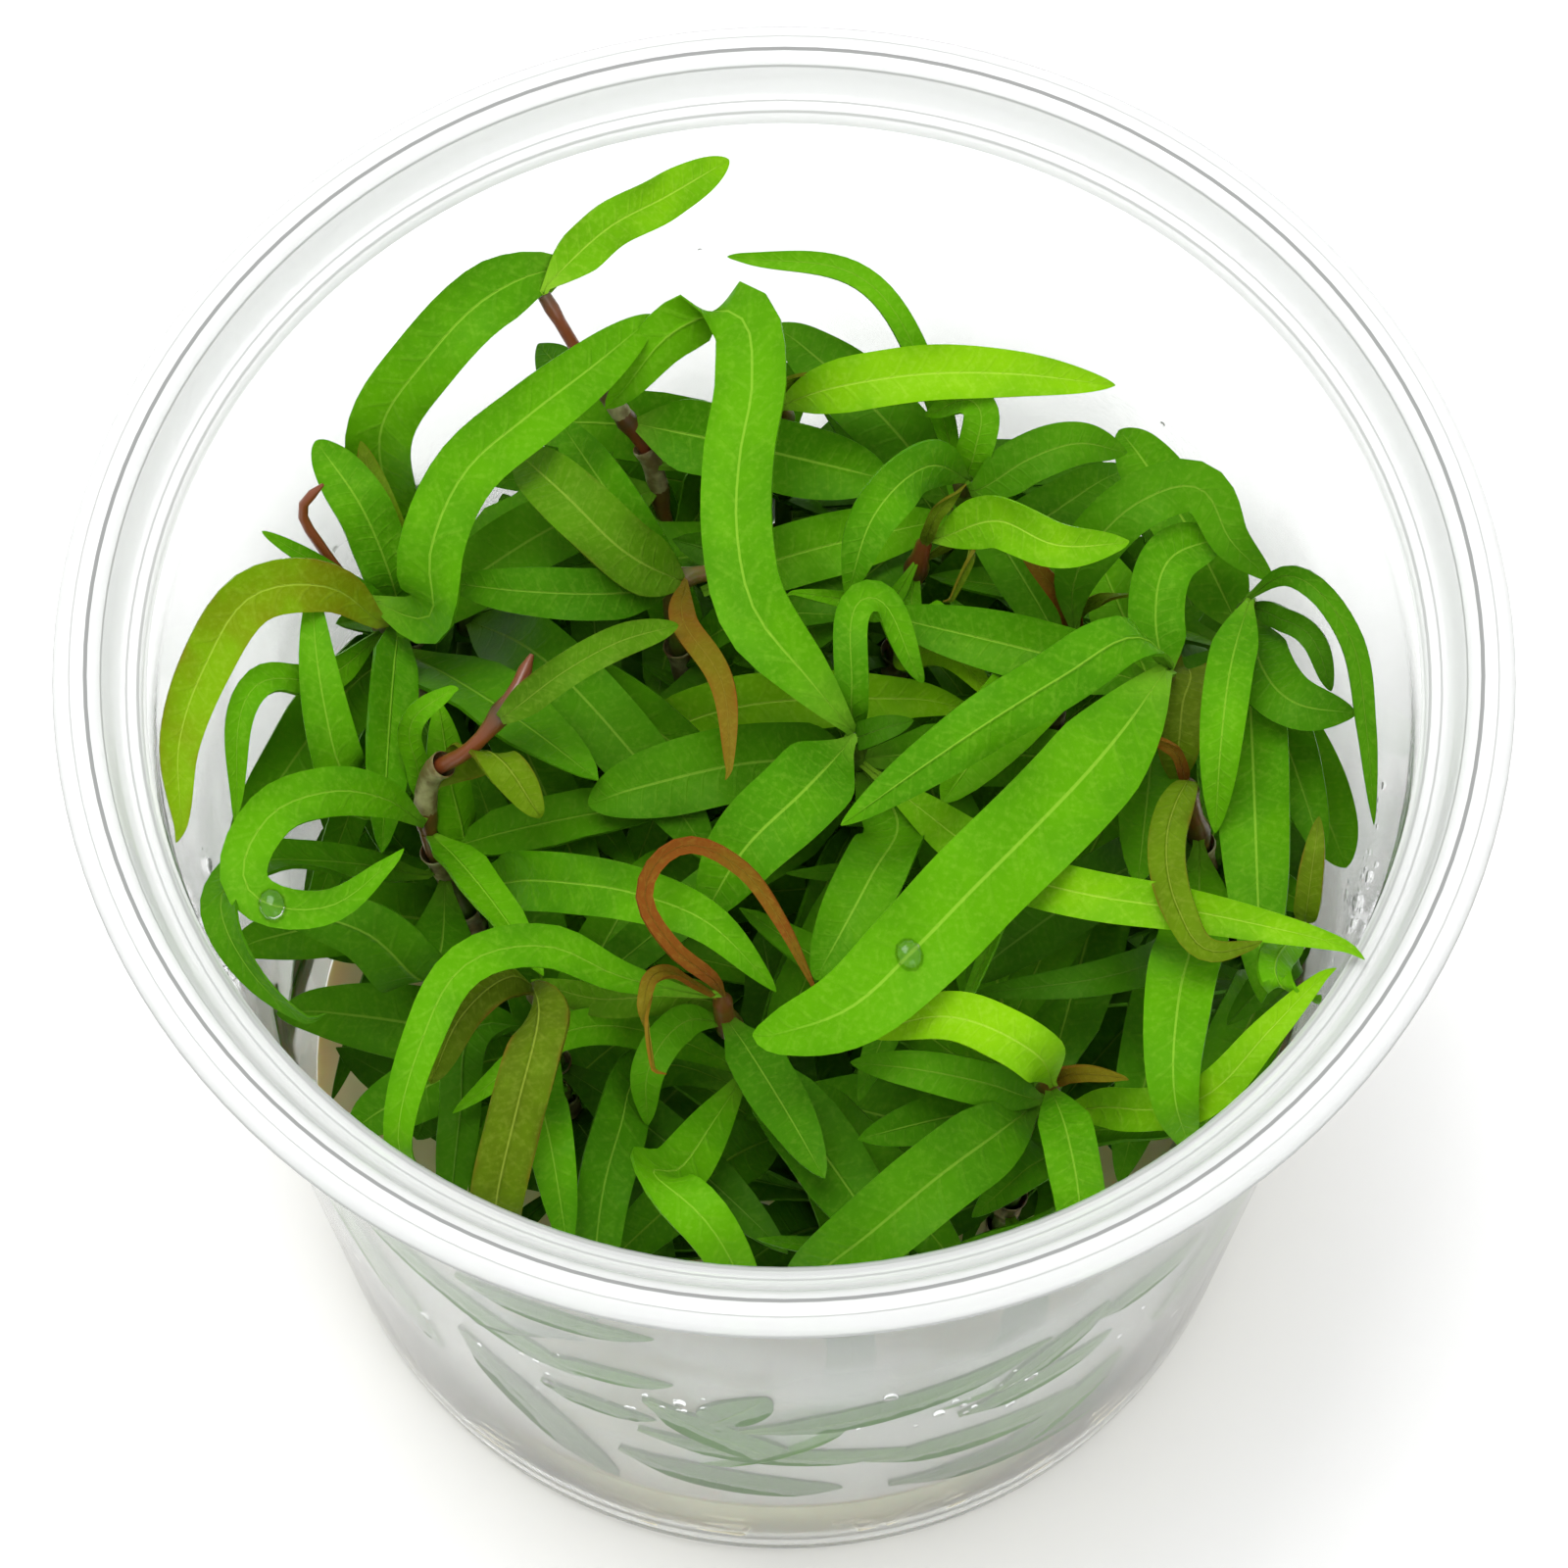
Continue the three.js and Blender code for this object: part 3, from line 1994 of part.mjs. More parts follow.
// Points along the stems and the deep leaves, from which the next deep leaf keeps as far as it can.
const marks = [];

// Adds a leaf in the depth of the cup, out of the face of its stem that looks at the most room.
function growDeepLeaf(stem, height, order) {
  const share = shareAtHeight(stem.curve, height);
  const root = stem.curve.getPointAt(share);
  const choices = [];
  for (const scale of DEEP_LEAF_SCALES)
    for (let face = 0; face < STEM_SIDES; face++) {
      const turn = faceTurn(stem.curve, share, face);
      const rise = DEEP_RISES[(order + face) % DEEP_RISES.length];
      const curve = jointLeafCurve(root, turn, DEEP_LEAF_LENGTH * scale, rise);
      const points = MARK_SHARES.map((part) => curve.getPointAt(part));
      const tip = points.at(-1);
      if (Math.hypot(tip.x, tip.y) > roomRadius(tip.z) || !insideTuft(tip)) continue;
      const gaps = points.flatMap((point) => marks.map((mark) => mark.distanceTo(point)));
      const room = scale * Math.min(...gaps);
      if (room > DEEP_LEAST_ROOM) choices.push({ curve, points, room });
    }
  choices.sort((a, b) => b.room - a.room);
  for (const { curve, points } of choices) {
    const solid = placeBlade(curve, DEEP_LEAF, stem, true);
    if (!solid) continue;
    stem.leaves.push(solid);
    marks.push(...points);
    return;
  }
}

const STEM_LIST = STEMS.map((stem) => {
  const curve = stemCurve(stem);
  const geometry = tube(curve, stemStations(stem, curve));
  return { ...stem, curve, length: curve.getLength(), solid: toSolid(geometry), leaves: [] };
});
const stems = new Map(STEM_LIST.map((stem) => [stem.name, stem]));
for (const stem of STEM_LIST) keep(stem.solid, stem.name);
const sockets = STEM_LIST.map((stem) => socketSolid(stem, stem.curve));
const gel = toSolid(turned(gelProfile())).subtract(wasm.Manifold.union(sockets));
keep(gel, null);

const part = new THREE.Group();

function addPiece(name, geometry, tone) {
  const mesh = new THREE.Mesh(geometry, new THREE.MeshStandardMaterial(TONES[tone]));
  mesh.name = name;
  part.add(mesh);
}

for (const leaf of CROWN) {
  const solid = settle(leaf, stems);
  if (leaf.name) addPiece(leaf.name, toGeometry(solid), leaf.tone);
  else stems.get(leaf.stem).leaves.push(solid);
}

JOINT_DEPTHS.forEach((depth, row) =>
  STEM_LIST.forEach((stem, i) => growJointLeaf(stem, depth, row * STEM_LIST.length + i)),
);

for (const stem of STEM_LIST) marks.push(...stem.curve.getSpacedPoints(24));
DEEP_HEIGHTS.forEach((height, row) =>
  STEM_LIST.forEach((stem, i) => {
    const order = row * STEM_LIST.length + i;
    growDeepLeaf(stem, height + DEEP_STAGGER * (i % 3), order);
  }),
);

for (const stem of STEM_LIST)
  addPiece(stem.name, toGeometry(wasm.Manifold.union([stem.solid, ...stem.leaves])), stem.tone);

addPiece("cup", turned(cupProfile()), "cup");
addPiece("gel", toGeometry(gel), "gel");

export default part;
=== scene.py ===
"""A tuft of persicaria pak chong in a clear culture cup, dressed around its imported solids."""

import json
import logging
import math
import random
from collections.abc import Callable
from dataclasses import dataclass, field
from enum import Enum

import bmesh
import bpy
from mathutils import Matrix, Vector


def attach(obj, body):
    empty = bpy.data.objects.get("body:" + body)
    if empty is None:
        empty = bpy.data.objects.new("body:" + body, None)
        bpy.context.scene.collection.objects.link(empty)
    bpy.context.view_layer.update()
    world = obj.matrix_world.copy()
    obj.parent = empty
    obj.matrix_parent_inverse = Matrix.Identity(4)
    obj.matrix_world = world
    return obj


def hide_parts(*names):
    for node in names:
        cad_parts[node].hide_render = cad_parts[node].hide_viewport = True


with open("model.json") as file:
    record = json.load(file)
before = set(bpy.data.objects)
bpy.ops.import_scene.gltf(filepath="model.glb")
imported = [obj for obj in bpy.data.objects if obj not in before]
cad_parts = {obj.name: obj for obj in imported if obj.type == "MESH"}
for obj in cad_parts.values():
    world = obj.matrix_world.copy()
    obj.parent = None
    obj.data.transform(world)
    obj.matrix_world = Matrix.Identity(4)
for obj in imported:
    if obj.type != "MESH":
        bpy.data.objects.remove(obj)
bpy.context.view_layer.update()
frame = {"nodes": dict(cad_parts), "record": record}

LOG = logging.getLogger("culture_cup")
MM = 0.001
ROOT = "root"
TINY = 1e-9
SAME_ROW = 1e-4
STEM_PARTS = 120
UP = Vector((0, 0, 1))
SEEDS = {"leaves": 11, "filling": 29, "stems": 3, "teeth": 5, "roots": 7, "drops": 13}

Operand = bpy.types.NodeSocket | float
Colour = bpy.types.NodeSocket | tuple
Laid = tuple[bpy.types.Object, str, list[str]]


# Small tools for modelling


def dice_for(name: str) -> random.Random:
    """Returns the seeded source of numbers that a sub-assembly draws from."""
    return random.Random(SEEDS[name])


def deselect() -> None:
    """Returns to object mode with nothing selected."""
    if bpy.context.mode != "OBJECT":
        bpy.ops.object.mode_set(mode="OBJECT")
    bpy.ops.object.select_all(action="DESELECT")


def activate(piece: bpy.types.Object) -> None:
    """Selects one object alone and makes it the active one."""
    deselect()
    piece.select_set(True)
    bpy.context.view_layer.objects.active = piece


def start_shaping() -> bpy.types.Object:
    """Opens the active object in edit mode with all of it selected, and returns it."""
    bpy.ops.object.mode_set(mode="EDIT")
    bpy.ops.mesh.select_all(action="SELECT")
    return bpy.context.active_object


def end_shaping() -> None:
    """Turns the faces of the edited mesh outwards and returns to object mode."""
    bpy.ops.mesh.select_all(action="SELECT")
    bpy.ops.mesh.normals_make_consistent(inside=False)
    bpy.ops.object.mode_set(mode="OBJECT")


def select_where(test: Callable[[Vector], bool]) -> None:
    """Selects the vertices of the edited mesh that pass a test, and nothing else.

    Args:
        test: A function of a vertex's place that says whether it is taken.
    """
    bpy.ops.mesh.select_all(action="DESELECT")
    data = bpy.context.edit_object.data
    mesh = bmesh.from_edit_mesh(data)
    for vertex in mesh.verts:
        if test(vertex.co):
            vertex.select = True
    mesh.select_flush(True)
    bmesh.update_edit_mesh(data)


def start_ring(sides: int, radius: float, height: float, filled: bool) -> bpy.types.Object:
    """Adds a level ring round the cup's axis and opens it for shaping.

    Args:
        sides: Its sides.
        radius: Its radius in millimetres.
        height: Its height in millimetres.
        filled: Whether a face fills it.

    Returns:
        The ring.
    """
    deselect()
    fill = "NGON" if filled else "NOTHING"
    bpy.ops.mesh.primitive_circle_add(
        vertices=sides, radius=radius * MM, fill_type=fill, location=(0, 0, 0)
    )
    piece = start_shaping()
    bpy.ops.transform.translate(value=(0, 0, height * MM))
    return piece


def raise_ring(profile: list[tuple[float, float]], filled: bool) -> None:
    """Extrudes the selected ring through a profile of radii and heights in millimetres.

    Args:
        profile: The ring's own radius and height, and then those of each new ring.
        filled: Whether the ring's face is extruded with its edges.
    """
    extrude = bpy.ops.mesh.extrude_region_move if filled else bpy.ops.mesh.extrude_edges_move
    for (before, low), (after, high) in zip(profile, profile[1:]):
        extrude(TRANSFORM_OT_translate={"value": (0, 0, (high - low) * MM)})
        grow = after / before
        bpy.ops.transform.resize(value=(grow, grow, 1), center_override=(0, 0, high * MM))


def apply_modifier(piece: bpy.types.Object, kind: str, **settings: float) -> None:
    """Adds a modifier to a piece and applies it.

    Args:
        piece: The object that gets it.
        kind: The modifier's type.
        **settings: Its settings by name.
    """
    activate(piece)
    modifier = piece.modifiers.new(kind.title(), kind)
    for name, value in settings.items():
        setattr(modifier, name, value)
    bpy.ops.object.modifier_apply(modifier=modifier.name)


def smooth(piece: bpy.types.Object, degrees: float = 40.0) -> None:
    """Shades a piece smooth, with edges sharper than an angle kept."""
    activate(piece)
    bpy.ops.object.shade_smooth_by_angle(angle=math.radians(degrees))


def join(pieces: list[bpy.types.Object], name: str) -> bpy.types.Object:
    """Joins pieces into one.

    Args:
        pieces: The objects, at least one.
        name: The name of the joined object.

    Returns:
        The joined object.
    """
    activate(pieces[0])
    for piece in pieces:
        piece.select_set(True)
    if len(pieces) > 1:
        bpy.ops.object.join()
    pieces[0].name = name
    return pieces[0]


def copy_of(form: bpy.types.Object, name: str) -> bpy.types.Object:
    """Copies a modelled form, with a mesh of its own.

    Args:
        form: The form to copy.
        name: The copy's name.

    Returns:
        The new object.
    """
    piece = bpy.data.objects.new(name, form.data.copy())
    bpy.context.scene.collection.objects.link(piece)
    return piece


def discard(*forms: bpy.types.Object) -> None:
    """Removes forms that were only there to be copied."""
    for form in forms:
        bpy.data.objects.remove(form)


def settle(piece: bpy.types.Object, slot: str, *nodes: str) -> None:
    """Makes a piece ride on the body and reports it.

    Args:
        piece: The finished piece.
        slot: Its slot; not used.
        *nodes: The nodes that it stands for.
    """
    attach(piece, ROOT)
    if nodes:
        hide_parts(*nodes)
    LOG.info("%s: %d faces", piece.name, len(piece.data.polygons))


# Curves through points


@dataclass
class Spine:
    """A smooth line through points, with a side that turns along it.

    The stations are even steps along its length.
    """

    points: list[Vector]
    sides: list[Vector]
    steps: int = 14
    stations: int = 60

    def __post_init__(self) -> None:
        """Lays the stations along the curve."""
        path, turn = self._dense()
        reach = [0.0]
        for before, after in zip(path, path[1:]):
            reach.append(reach[-1] + (after - before).length)
        self.length = reach[-1]
        self.middles, self.across = [], []
        place = 0
        for station in range(self.stations + 1):
            goal = self.length * station / self.stations
            while place < len(path) - 2 and reach[place + 1] < goal:
                place += 1
            share = (goal - reach[place]) / max(reach[place + 1] - reach[place], TINY)
            self.middles.append(path[place].lerp(path[place + 1], share))
            self.across.append(turn[place].lerp(turn[place + 1], share))

    def _dense(self) -> tuple[list[Vector], list[Vector]]:
        """Walks the curve in small steps.

        Returns:
            Many points of the curve, and the side at each.
        """
        points, last = self.points, len(self.points) - 1
        slopes = []
        for i in range(last + 1):
            before, after = points[max(i - 1, 0)], points[min(i + 1, last)]
            slopes.append((after - before) / max((after - before).length, TINY))
        path, turn = [], []
        for i in range(last):
            start, end = points[i], points[i + 1]
            span = (end - start).length
            for step in range(self.steps + (i == last - 1)):
                t = step / self.steps
                path.append(
                    start * (2 * t**3 - 3 * t**2 + 1)
                    + slopes[i] * span * (t**3 - 2 * t**2 + t)
                    + end * (3 * t**2 - 2 * t**3)
                    + slopes[i + 1] * span * (t**3 - t**2)
                )
                turn.append(self.sides[i].lerp(self.sides[i + 1], t))
        return path, turn

    def at(self, share: float) -> tuple[Vector, Vector, Vector]:
        """Finds a place on the line.

        Args:
            share: How far along, from 0 to 1.

        Returns:
            The point, the side and the face's normal there.
        """
        place = min(max(share, 0.0), 1.0) * self.stations
        low = min(int(place), self.stations - 1)
        part = place - low
        middle = self.middles[low].lerp(self.middles[low + 1], part)
        along = self._along(low).lerp(self._along(low + 1), part).normalized()
        side = self.across[low].lerp(self.across[low + 1], part)
        side = (side - along * side.dot(along)).normalized()
        return middle, side, along.cross(side)

    def places(self, parts: int) -> list[Vector]:
        """Returns the ends of even parts of the line, from its start on."""
        return [self.at(i / parts)[0] for i in range(parts + 1)]

    def _along(self, station: int) -> Vector:
        """Finds the direction of the line.

        Args:
            station: The number of a station.

        Returns:
            The direction there.
        """
        before = self.middles[max(station - 1, 0)]
        after = self.middles[min(station + 1, self.stations)]
        return (after - before).normalized()


# Leaves as the solids hold them


@dataclass
class LeafLine:
    """A leaf's middle line from its base to its tip, with its half width in metres."""

    node: str
    points: list[Vector]
    sides: list[Vector]
    half_width: float


@dataclass
class LeafReader:
    """Finds the leaves in a solid by walking back from each tip, ring of corners by ring.

    The blades of most leaves have four corners, and those of the deepest ones three.
    """

    weld: float = 2e-6
    most_tip_angle: dict = field(default_factory=lambda: {4: 290.0, 3: 100.0})
    least_rings: dict = field(default_factory=lambda: {4: 2, 3: 1})
    least_half: float = 1.2 * MM
    stem_overlap: float = 0.9 * MM

    def read(self, node: str) -> list[LeafLine]:
        """Reads every leaf of a node.

        Args:
            node: The node's name.

        Returns:
            Its leaves.
        """
        mesh = bmesh.new()
        mesh.from_mesh(frame["nodes"][node].data)
        bmesh.ops.remove_doubles(mesh, verts=mesh.verts, dist=self.weld)
        lines = []
        for vertex in mesh.verts:
            line = self._walk(node, vertex) if self._is_tip(vertex) else None
            if line:
                lines.append(line)
        mesh.free()
        return lines

    def _is_tip(self, vertex: bmesh.types.BMVert) -> bool:
        """Tests whether three or four thin faces meet in a vertex.

        Args:
            vertex: The vertex.

        Returns:
            Whether it is a leaf's tip.
        """
        corners = len(vertex.link_edges)
        if corners not in self.most_tip_angle or len(vertex.link_faces) != corners:
            return False
        angle = sum(loop.calc_angle() for loop in vertex.link_loops)
        return math.degrees(angle) < self.most_tip_angle[corners]

    def _walk(self, node: str, tip: bmesh.types.BMVert) -> LeafLine | None:
        """Follows the rings of corners back from a tip.

        Args:
            node: The node's name.
            tip: The tip.

        Returns:
            The leaf, or nothing if the rings aren't a blade's.
        """
        rings, done, front = [], {tip}, {edge.other_vert(tip) for edge in tip.link_edges}
        base, corners = None, len(tip.link_edges)
        while len(front) == corners:
            rings.append(list(front))
            done |= front
            after = {edge.other_vert(v) for v in front for edge in v.link_edges} - done
            base, front = after, after
        if len(rings) < self.least_rings[corners]:
            return None
        if corners == 3 and self._measure(rings[0])[2] < self.least_half:
            return None
        points, sides, width = [tip.co.copy()], [], 0.0
        for ring in rings:
            middle, side, half = self._measure(ring)
            if sides and side.dot(sides[-1]) < 0:
                side = -side
            points.append(middle)
            sides.append(side)
            width = max(width, half)
        sides.insert(0, sides[0].copy())
        if base:
            points.append(sum((v.co for v in base), Vector()) / len(base))
            sides.append(sides[-1].copy())
        foot = points[-1] - points[-2]
        points[-1] = points[-1] + foot.normalized() * self.stem_overlap
        points.reverse()
        sides.reverse()
        return LeafLine(node, points, self._face_up(points, sides, rings), width)

    def _measure(self, ring: list[bmesh.types.BMVert]) -> tuple[Vector, Vector, float]:
        """Measures a blade across a ring.

        Args:
            ring: The ring's corners.

        Returns:
            The ring's middle, the direction to one edge, and its half width.
        """
        places = [v.co for v in ring]
        pairs = [(a, b) for i, a in enumerate(places) for b in places[i + 1 :]]
        left, right = max(pairs, key=lambda pair: (pair[0] - pair[1]).length)
        rest = [place for place in places if place is not left and place is not right]
        if len(rest) == 1:
            rest.append((left + right) / 2)
        middle = (rest[0] + rest[1]) / 2
        return middle, (right - left).normalized(), (right - left).length / 2

    def _face_up(self, points: list[Vector], sides: list[Vector], rings: list) -> list[Vector]:
        """Turns a leaf's face to where its edges are lifted.

        Args:
            points: The leaf's middle line.
            sides: The direction to one edge at each point.
            rings: The rings of corners.

        Returns:
            The sides, turned round if need be.
        """
        ring = rings[len(rings) // 2]
        places = [v.co for v in ring]
        middle, side, half = self._measure(ring)
        edges = [p for p in places if abs((p - middle).dot(side)) > half * 0.5]
        lift = sum(edges, Vector()) / max(len(edges), 1) - middle
        place = min(range(len(points)), key=lambda i: (points[i] - middle).length)
        after, before = points[min(place + 1, len(points) - 1)], points[max(place - 1, 0)]
        normal = (after - before).cross(sides[place])
        if normal.dot(lift) < 0:
            return [-side for side in sides]
        return sides


# The blade that the leaves are laid out from


class Outline(Enum):
    """The outlines of a blade.

    Each says where the blade is widest (from and to, as shares of its length), how its base and
    its tip narrow, how blunt its tip is, and how full it is.
    """

    LANCE = (0.32, 0.48, 0.85, 2.0, 0.70, 1.0)
    BROAD = (0.28, 0.55, 0.75, 2.6, 0.56, 1.0)
    STRAP = (0.24, 0.60, 0.80, 2.4, 0.62, 1.0)
    RIBBON = (0.20, 0.66, 0.70, 2.0, 0.70, 0.68)


@dataclass
class Blade:
    """A flat blade, shaped once for each outline, in shares of its half width and its length.

    Columns and rows that are in place stand aside until the others are, so none is moved twice.
    """

    outline: Outline
    columns: tuple = (0.05, 0.16, 0.36, 0.60, 0.83, 1.0)
    rows: int = 34
    crowding: float = 1.35
    thickness: float = 0.34
    groove: float = 0.07
    midrib_reach: float = 0.01
    petiole: float = 0.17
    shoulder: float = 0.25
    least_width: float = 0.02
    aside: float = 10.0

    def width_at(self, share: float) -> float:
        """Finds how wide the blade is.

        Args:
            share: The place, as a share of its length.

        Returns:
            The width there, as a share of the half width.
        """
        start, end, base, tip, blunt, full = self.outline.value
        if share < start:
            swell = math.sin(share / start * math.pi / 2) ** base
            taper = self.shoulder + (1 - self.shoulder) * (share / start) ** 0.5
            return full * max(self.petiole, swell * taper)
        if share < end:
            return full
        past = (share - end) / (1 - end)
        return full * max(1 - past**tip, 0.0) ** blunt

    def build(self) -> bpy.types.Object:
        """Shapes a grid into the blade.

        Returns:
            The blade as a closed body.
        """
        deselect()
        bpy.ops.mesh.primitive_grid_add(
            x_subdivisions=2 * len(self.columns), y_subdivisions=self.rows, size=2
        )
        form = start_shaping()
        form.name = f"form_{self.outline.name.lower()}"
        self._move_columns()
        self._shape_rows()
        apply_modifier(form, "SOLIDIFY", thickness=self.thickness, offset=0.0)
        activate(form)
        start_shaping()
        select_where(lambda place: abs(place.x) < self.midrib_reach)
        bpy.ops.transform.translate(value=(0, 0, -self.groove))
        deselect()
        return form

    def _move_columns(self) -> None:
        """Draws the columns together at the midrib."""
        count = len(self.columns)
        for side in (1, -1):
            for number in range(count, 0, -1):
                place, goal = number / count, self.columns[number - 1]
                select_where(lambda p, here=side * place: abs(p.x - here) < SAME_ROW)
                step = side * (goal - place) + side * self.aside
                bpy.ops.transform.translate(value=(step, 0, 0))
            select_where(lambda p, side=side: p.x * side > self.aside / 2)
            bpy.ops.transform.translate(value=(-side * self.aside, 0, 0))

    def _shape_rows(self) -> None:
        """Draws each row in to the outline's width, and the rows together towards the tip."""
        for row in range(self.rows, -1, -1):
            down = 2 * row / self.rows - 1
            share = 1 - (1 - row / self.rows) ** self.crowding
            width = max(self.width_at(share), self.least_width)
            select_where(lambda p, down=down: abs(p.y - down) < SAME_ROW)
            bpy.ops.transform.resize(value=(width, 1, 1))
            bpy.ops.transform.translate(value=(0, 2 * share - 1 - down + self.aside, 0))
        bpy.ops.mesh.select_all(action="SELECT")
        bpy.ops.transform.translate(value=(0, -self.aside, 0))


@dataclass
class Pose:
    """How one leaf's blade lies: its fold, twist and the ripple of its margins."""

    fold: float
    twist: float
    ripple: float
    waves: float
    phase: float

    @classmethod
    def drawn(cls, dice: random.Random) -> "Pose":
        """Draws a pose by chance.

        Args:
            dice: A seeded source of numbers.

        Returns:
            The pose.
        """
        return cls(
            fold=dice.uniform(0.10, 0.30),
            twist=dice.uniform(-0.22, 0.22),
            ripple=dice.uniform(0.05, 0.22),
            waves=dice.uniform(1.6, 3.4),
            phase=dice.uniform(0, math.tau),
        )

    def flat(self) -> "Pose":
        """Returns a pose that lies flat, with the same phase."""
        return Pose(fold=0.01, twist=0.0, ripple=0.0, waves=2.0, phase=self.phase)


def lay_blade(
    form: bpy.types.Object, line: LeafLine, pose: Pose, name: str, thinning: float = 0.75
) -> bpy.types.Object:
    """Lays a copy of the flat blade along a leaf's line.

    Args:
        form: The flat blade.
        line: The leaf's line.
        pose: How the blade lies on it.
        name: The new piece's name.
        thinning: How much thinner its tip is, as a share.

    Returns:
        The laid leaf.
    """
    piece = copy_of(form, name)
    spine, half = Spine(line.points, line.sides), line.half_width
    tint = piece.data.attributes.new("tint", "FLOAT", "POINT")
    tone = math.sin(pose.phase * 7)
    for vertex in piece.data.vertices:
        across, down, lift = vertex.co
        share = (down + 1) / 2
        middle, side, face = spine.at(share)
        turn = pose.twist * math.sin(share * math.pi)
        right = side * math.cos(turn) + face * math.sin(turn)
        up = face * math.cos(turn) - side * math.sin(turn)
        swing = pose.ripple * math.sin(pose.waves * math.tau * share + pose.phase)
        swing *= math.sin(share * math.pi) * abs(across) ** 2
        thin = 1 - thinning * share**4
        rise = lift * thin * MM + half * (pose.fold * abs(across) ** 1.5 + swing)
        vertex.co = middle + right * (across * half) + up * rise
        tint.data[vertex.index].value = tone
    smooth(piece, 60)
    return piece


# Finishes


class Wiring:
    """Places and links the nodes of a material or a group."""

    def __init__(self, tree: bpy.types.NodeTree) -> None:
        """Starts on a node tree."""
        self.tree = tree

    def put(self, node: bpy.types.Node, values: dict) -> None:
        """Sets or links the inputs of a node.

        Args:
            node: The node.
            values: For each input, by name or number, a socket, a number or a colour of three.
        """
        for name, value in values.items():
            if isinstance(value, bpy.types.NodeSocket):
                self.tree.links.new(value, node.inputs[name])
            else:
                full = (*value, 1.0) if isinstance(value, tuple) else value
                node.inputs[name].default_value = full

    def add(self, kind: str, values: dict | None = None, **settings: object) -> bpy.types.Node:
        """Adds a node.

        Args:
            kind: Its type, without the leading ShaderNode.
            values: What put takes for its inputs.
            **settings: Its other settings.

        Returns:
            The node.
        """
        node = self.tree.nodes.new(f"ShaderNode{kind}")
        for name, value in settings.items():
            setattr(node, name, value)
        self.put(node, values or {})
        return node

    def math(self, operation: str, *values: Operand) -> bpy.types.NodeSocket:
        """Returns the outcome of a sum on sockets or numbers."""
        return self.add("Math", dict(enumerate(values)), operation=operation).outputs[0]

    def times(self, first: Operand, second: Operand) -> bpy.types.NodeSocket:
        """Returns a product."""
        return self.math("MULTIPLY", first, second)

    def shares(self, base: Operand, *parts: tuple[Operand, float]) -> bpy.types.NodeSocket:
        """Adds parts to a base.

        Args:
            base: The base.
            *parts: Each part with the share of it that is added.

        Returns:
            The sum.
        """
        for part, share in parts:
            base = self.math("MULTIPLY_ADD", part, share, base)
        return base

    def step(self, value: bpy.types.NodeSocket, low: float, high: float) -> bpy.types.NodeSocket:
        """Turns a value into a smooth step.

        Args:
            value: The value.
            low: Where the step is 0, which may be above high.
            high: Where the step is 1.

        Returns:
            The step.
        """
        start, end = (0.0, 1.0) if low < high else (1.0, 0.0)
        bounds = {"From Min": min(low, high), "From Max": max(low, high)}
        values = {"Value": value, **bounds, "To Min": start, "To Max": end}
        return self.add("MapRange", values, interpolation_type="SMOOTHSTEP").outputs[0]

    def mix(self, factor: Operand, first: Colour, second: Colour) -> bpy.types.NodeSocket:
        """Returns two colours mixed by a factor."""
        return self.add("Mix", {0: factor, 6: first, 7: second}, data_type="RGBA").outputs[2]

    def noise(
        self, place: bpy.types.NodeSocket, scale: float, detail: float = 3.0
    ) -> bpy.types.NodeSocket:
        """Returns a noise of a scale, in waves a metre, at a place."""
        values = {"Vector": place, "Scale": scale, "Detail": detail, "Roughness": 0.55}
        return self.add("TexNoise", values).outputs["Fac"]

    def bump(
        self, height: bpy.types.NodeSocket, strength: float, depth: float
    ) -> bpy.types.NodeSocket:
        """Returns the normals of a height, with a strength and a depth in metres."""
        values = {"Height": height, "Strength": strength, "Distance": depth}
        return self.add("Bump", values).outputs["Normal"]

    def place(self, kind: str = "Object") -> bpy.types.NodeSocket:
        """Returns the place on the piece, in Object or UV coordinates."""
        return self.add("TexCoord").outputs[kind]

    def axis(self, place: bpy.types.NodeSocket, name: str) -> bpy.types.NodeSocket:
        """Returns one axis of a place."""
        return self.add("SeparateXYZ", {0: place}).outputs[name]

    def attribute(self, name: str) -> bpy.types.NodeSocket:
        """Returns what a piece says about each of its vertices."""
        return self.add("Attribute", attribute_name=name).outputs["Fac"]


class Finish:
    """What a piece is dressed in."""

    def material(self, name: str) -> bpy.types.Material:
        """Builds the finish's material.

        Args:
            name: The material's name.

        Returns:
            The material.
        """
        material = bpy.data.materials.new(name)
        material.use_nodes = True
        wire = Wiring(material.node_tree)
        wire.put(material.node_tree.nodes["Principled BSDF"], self.look(wire))
        return material

    def look(self, wire: Wiring) -> dict:
        """Returns what the shader's inputs are set to or linked with; each finish has its own."""
        raise NotImplementedError


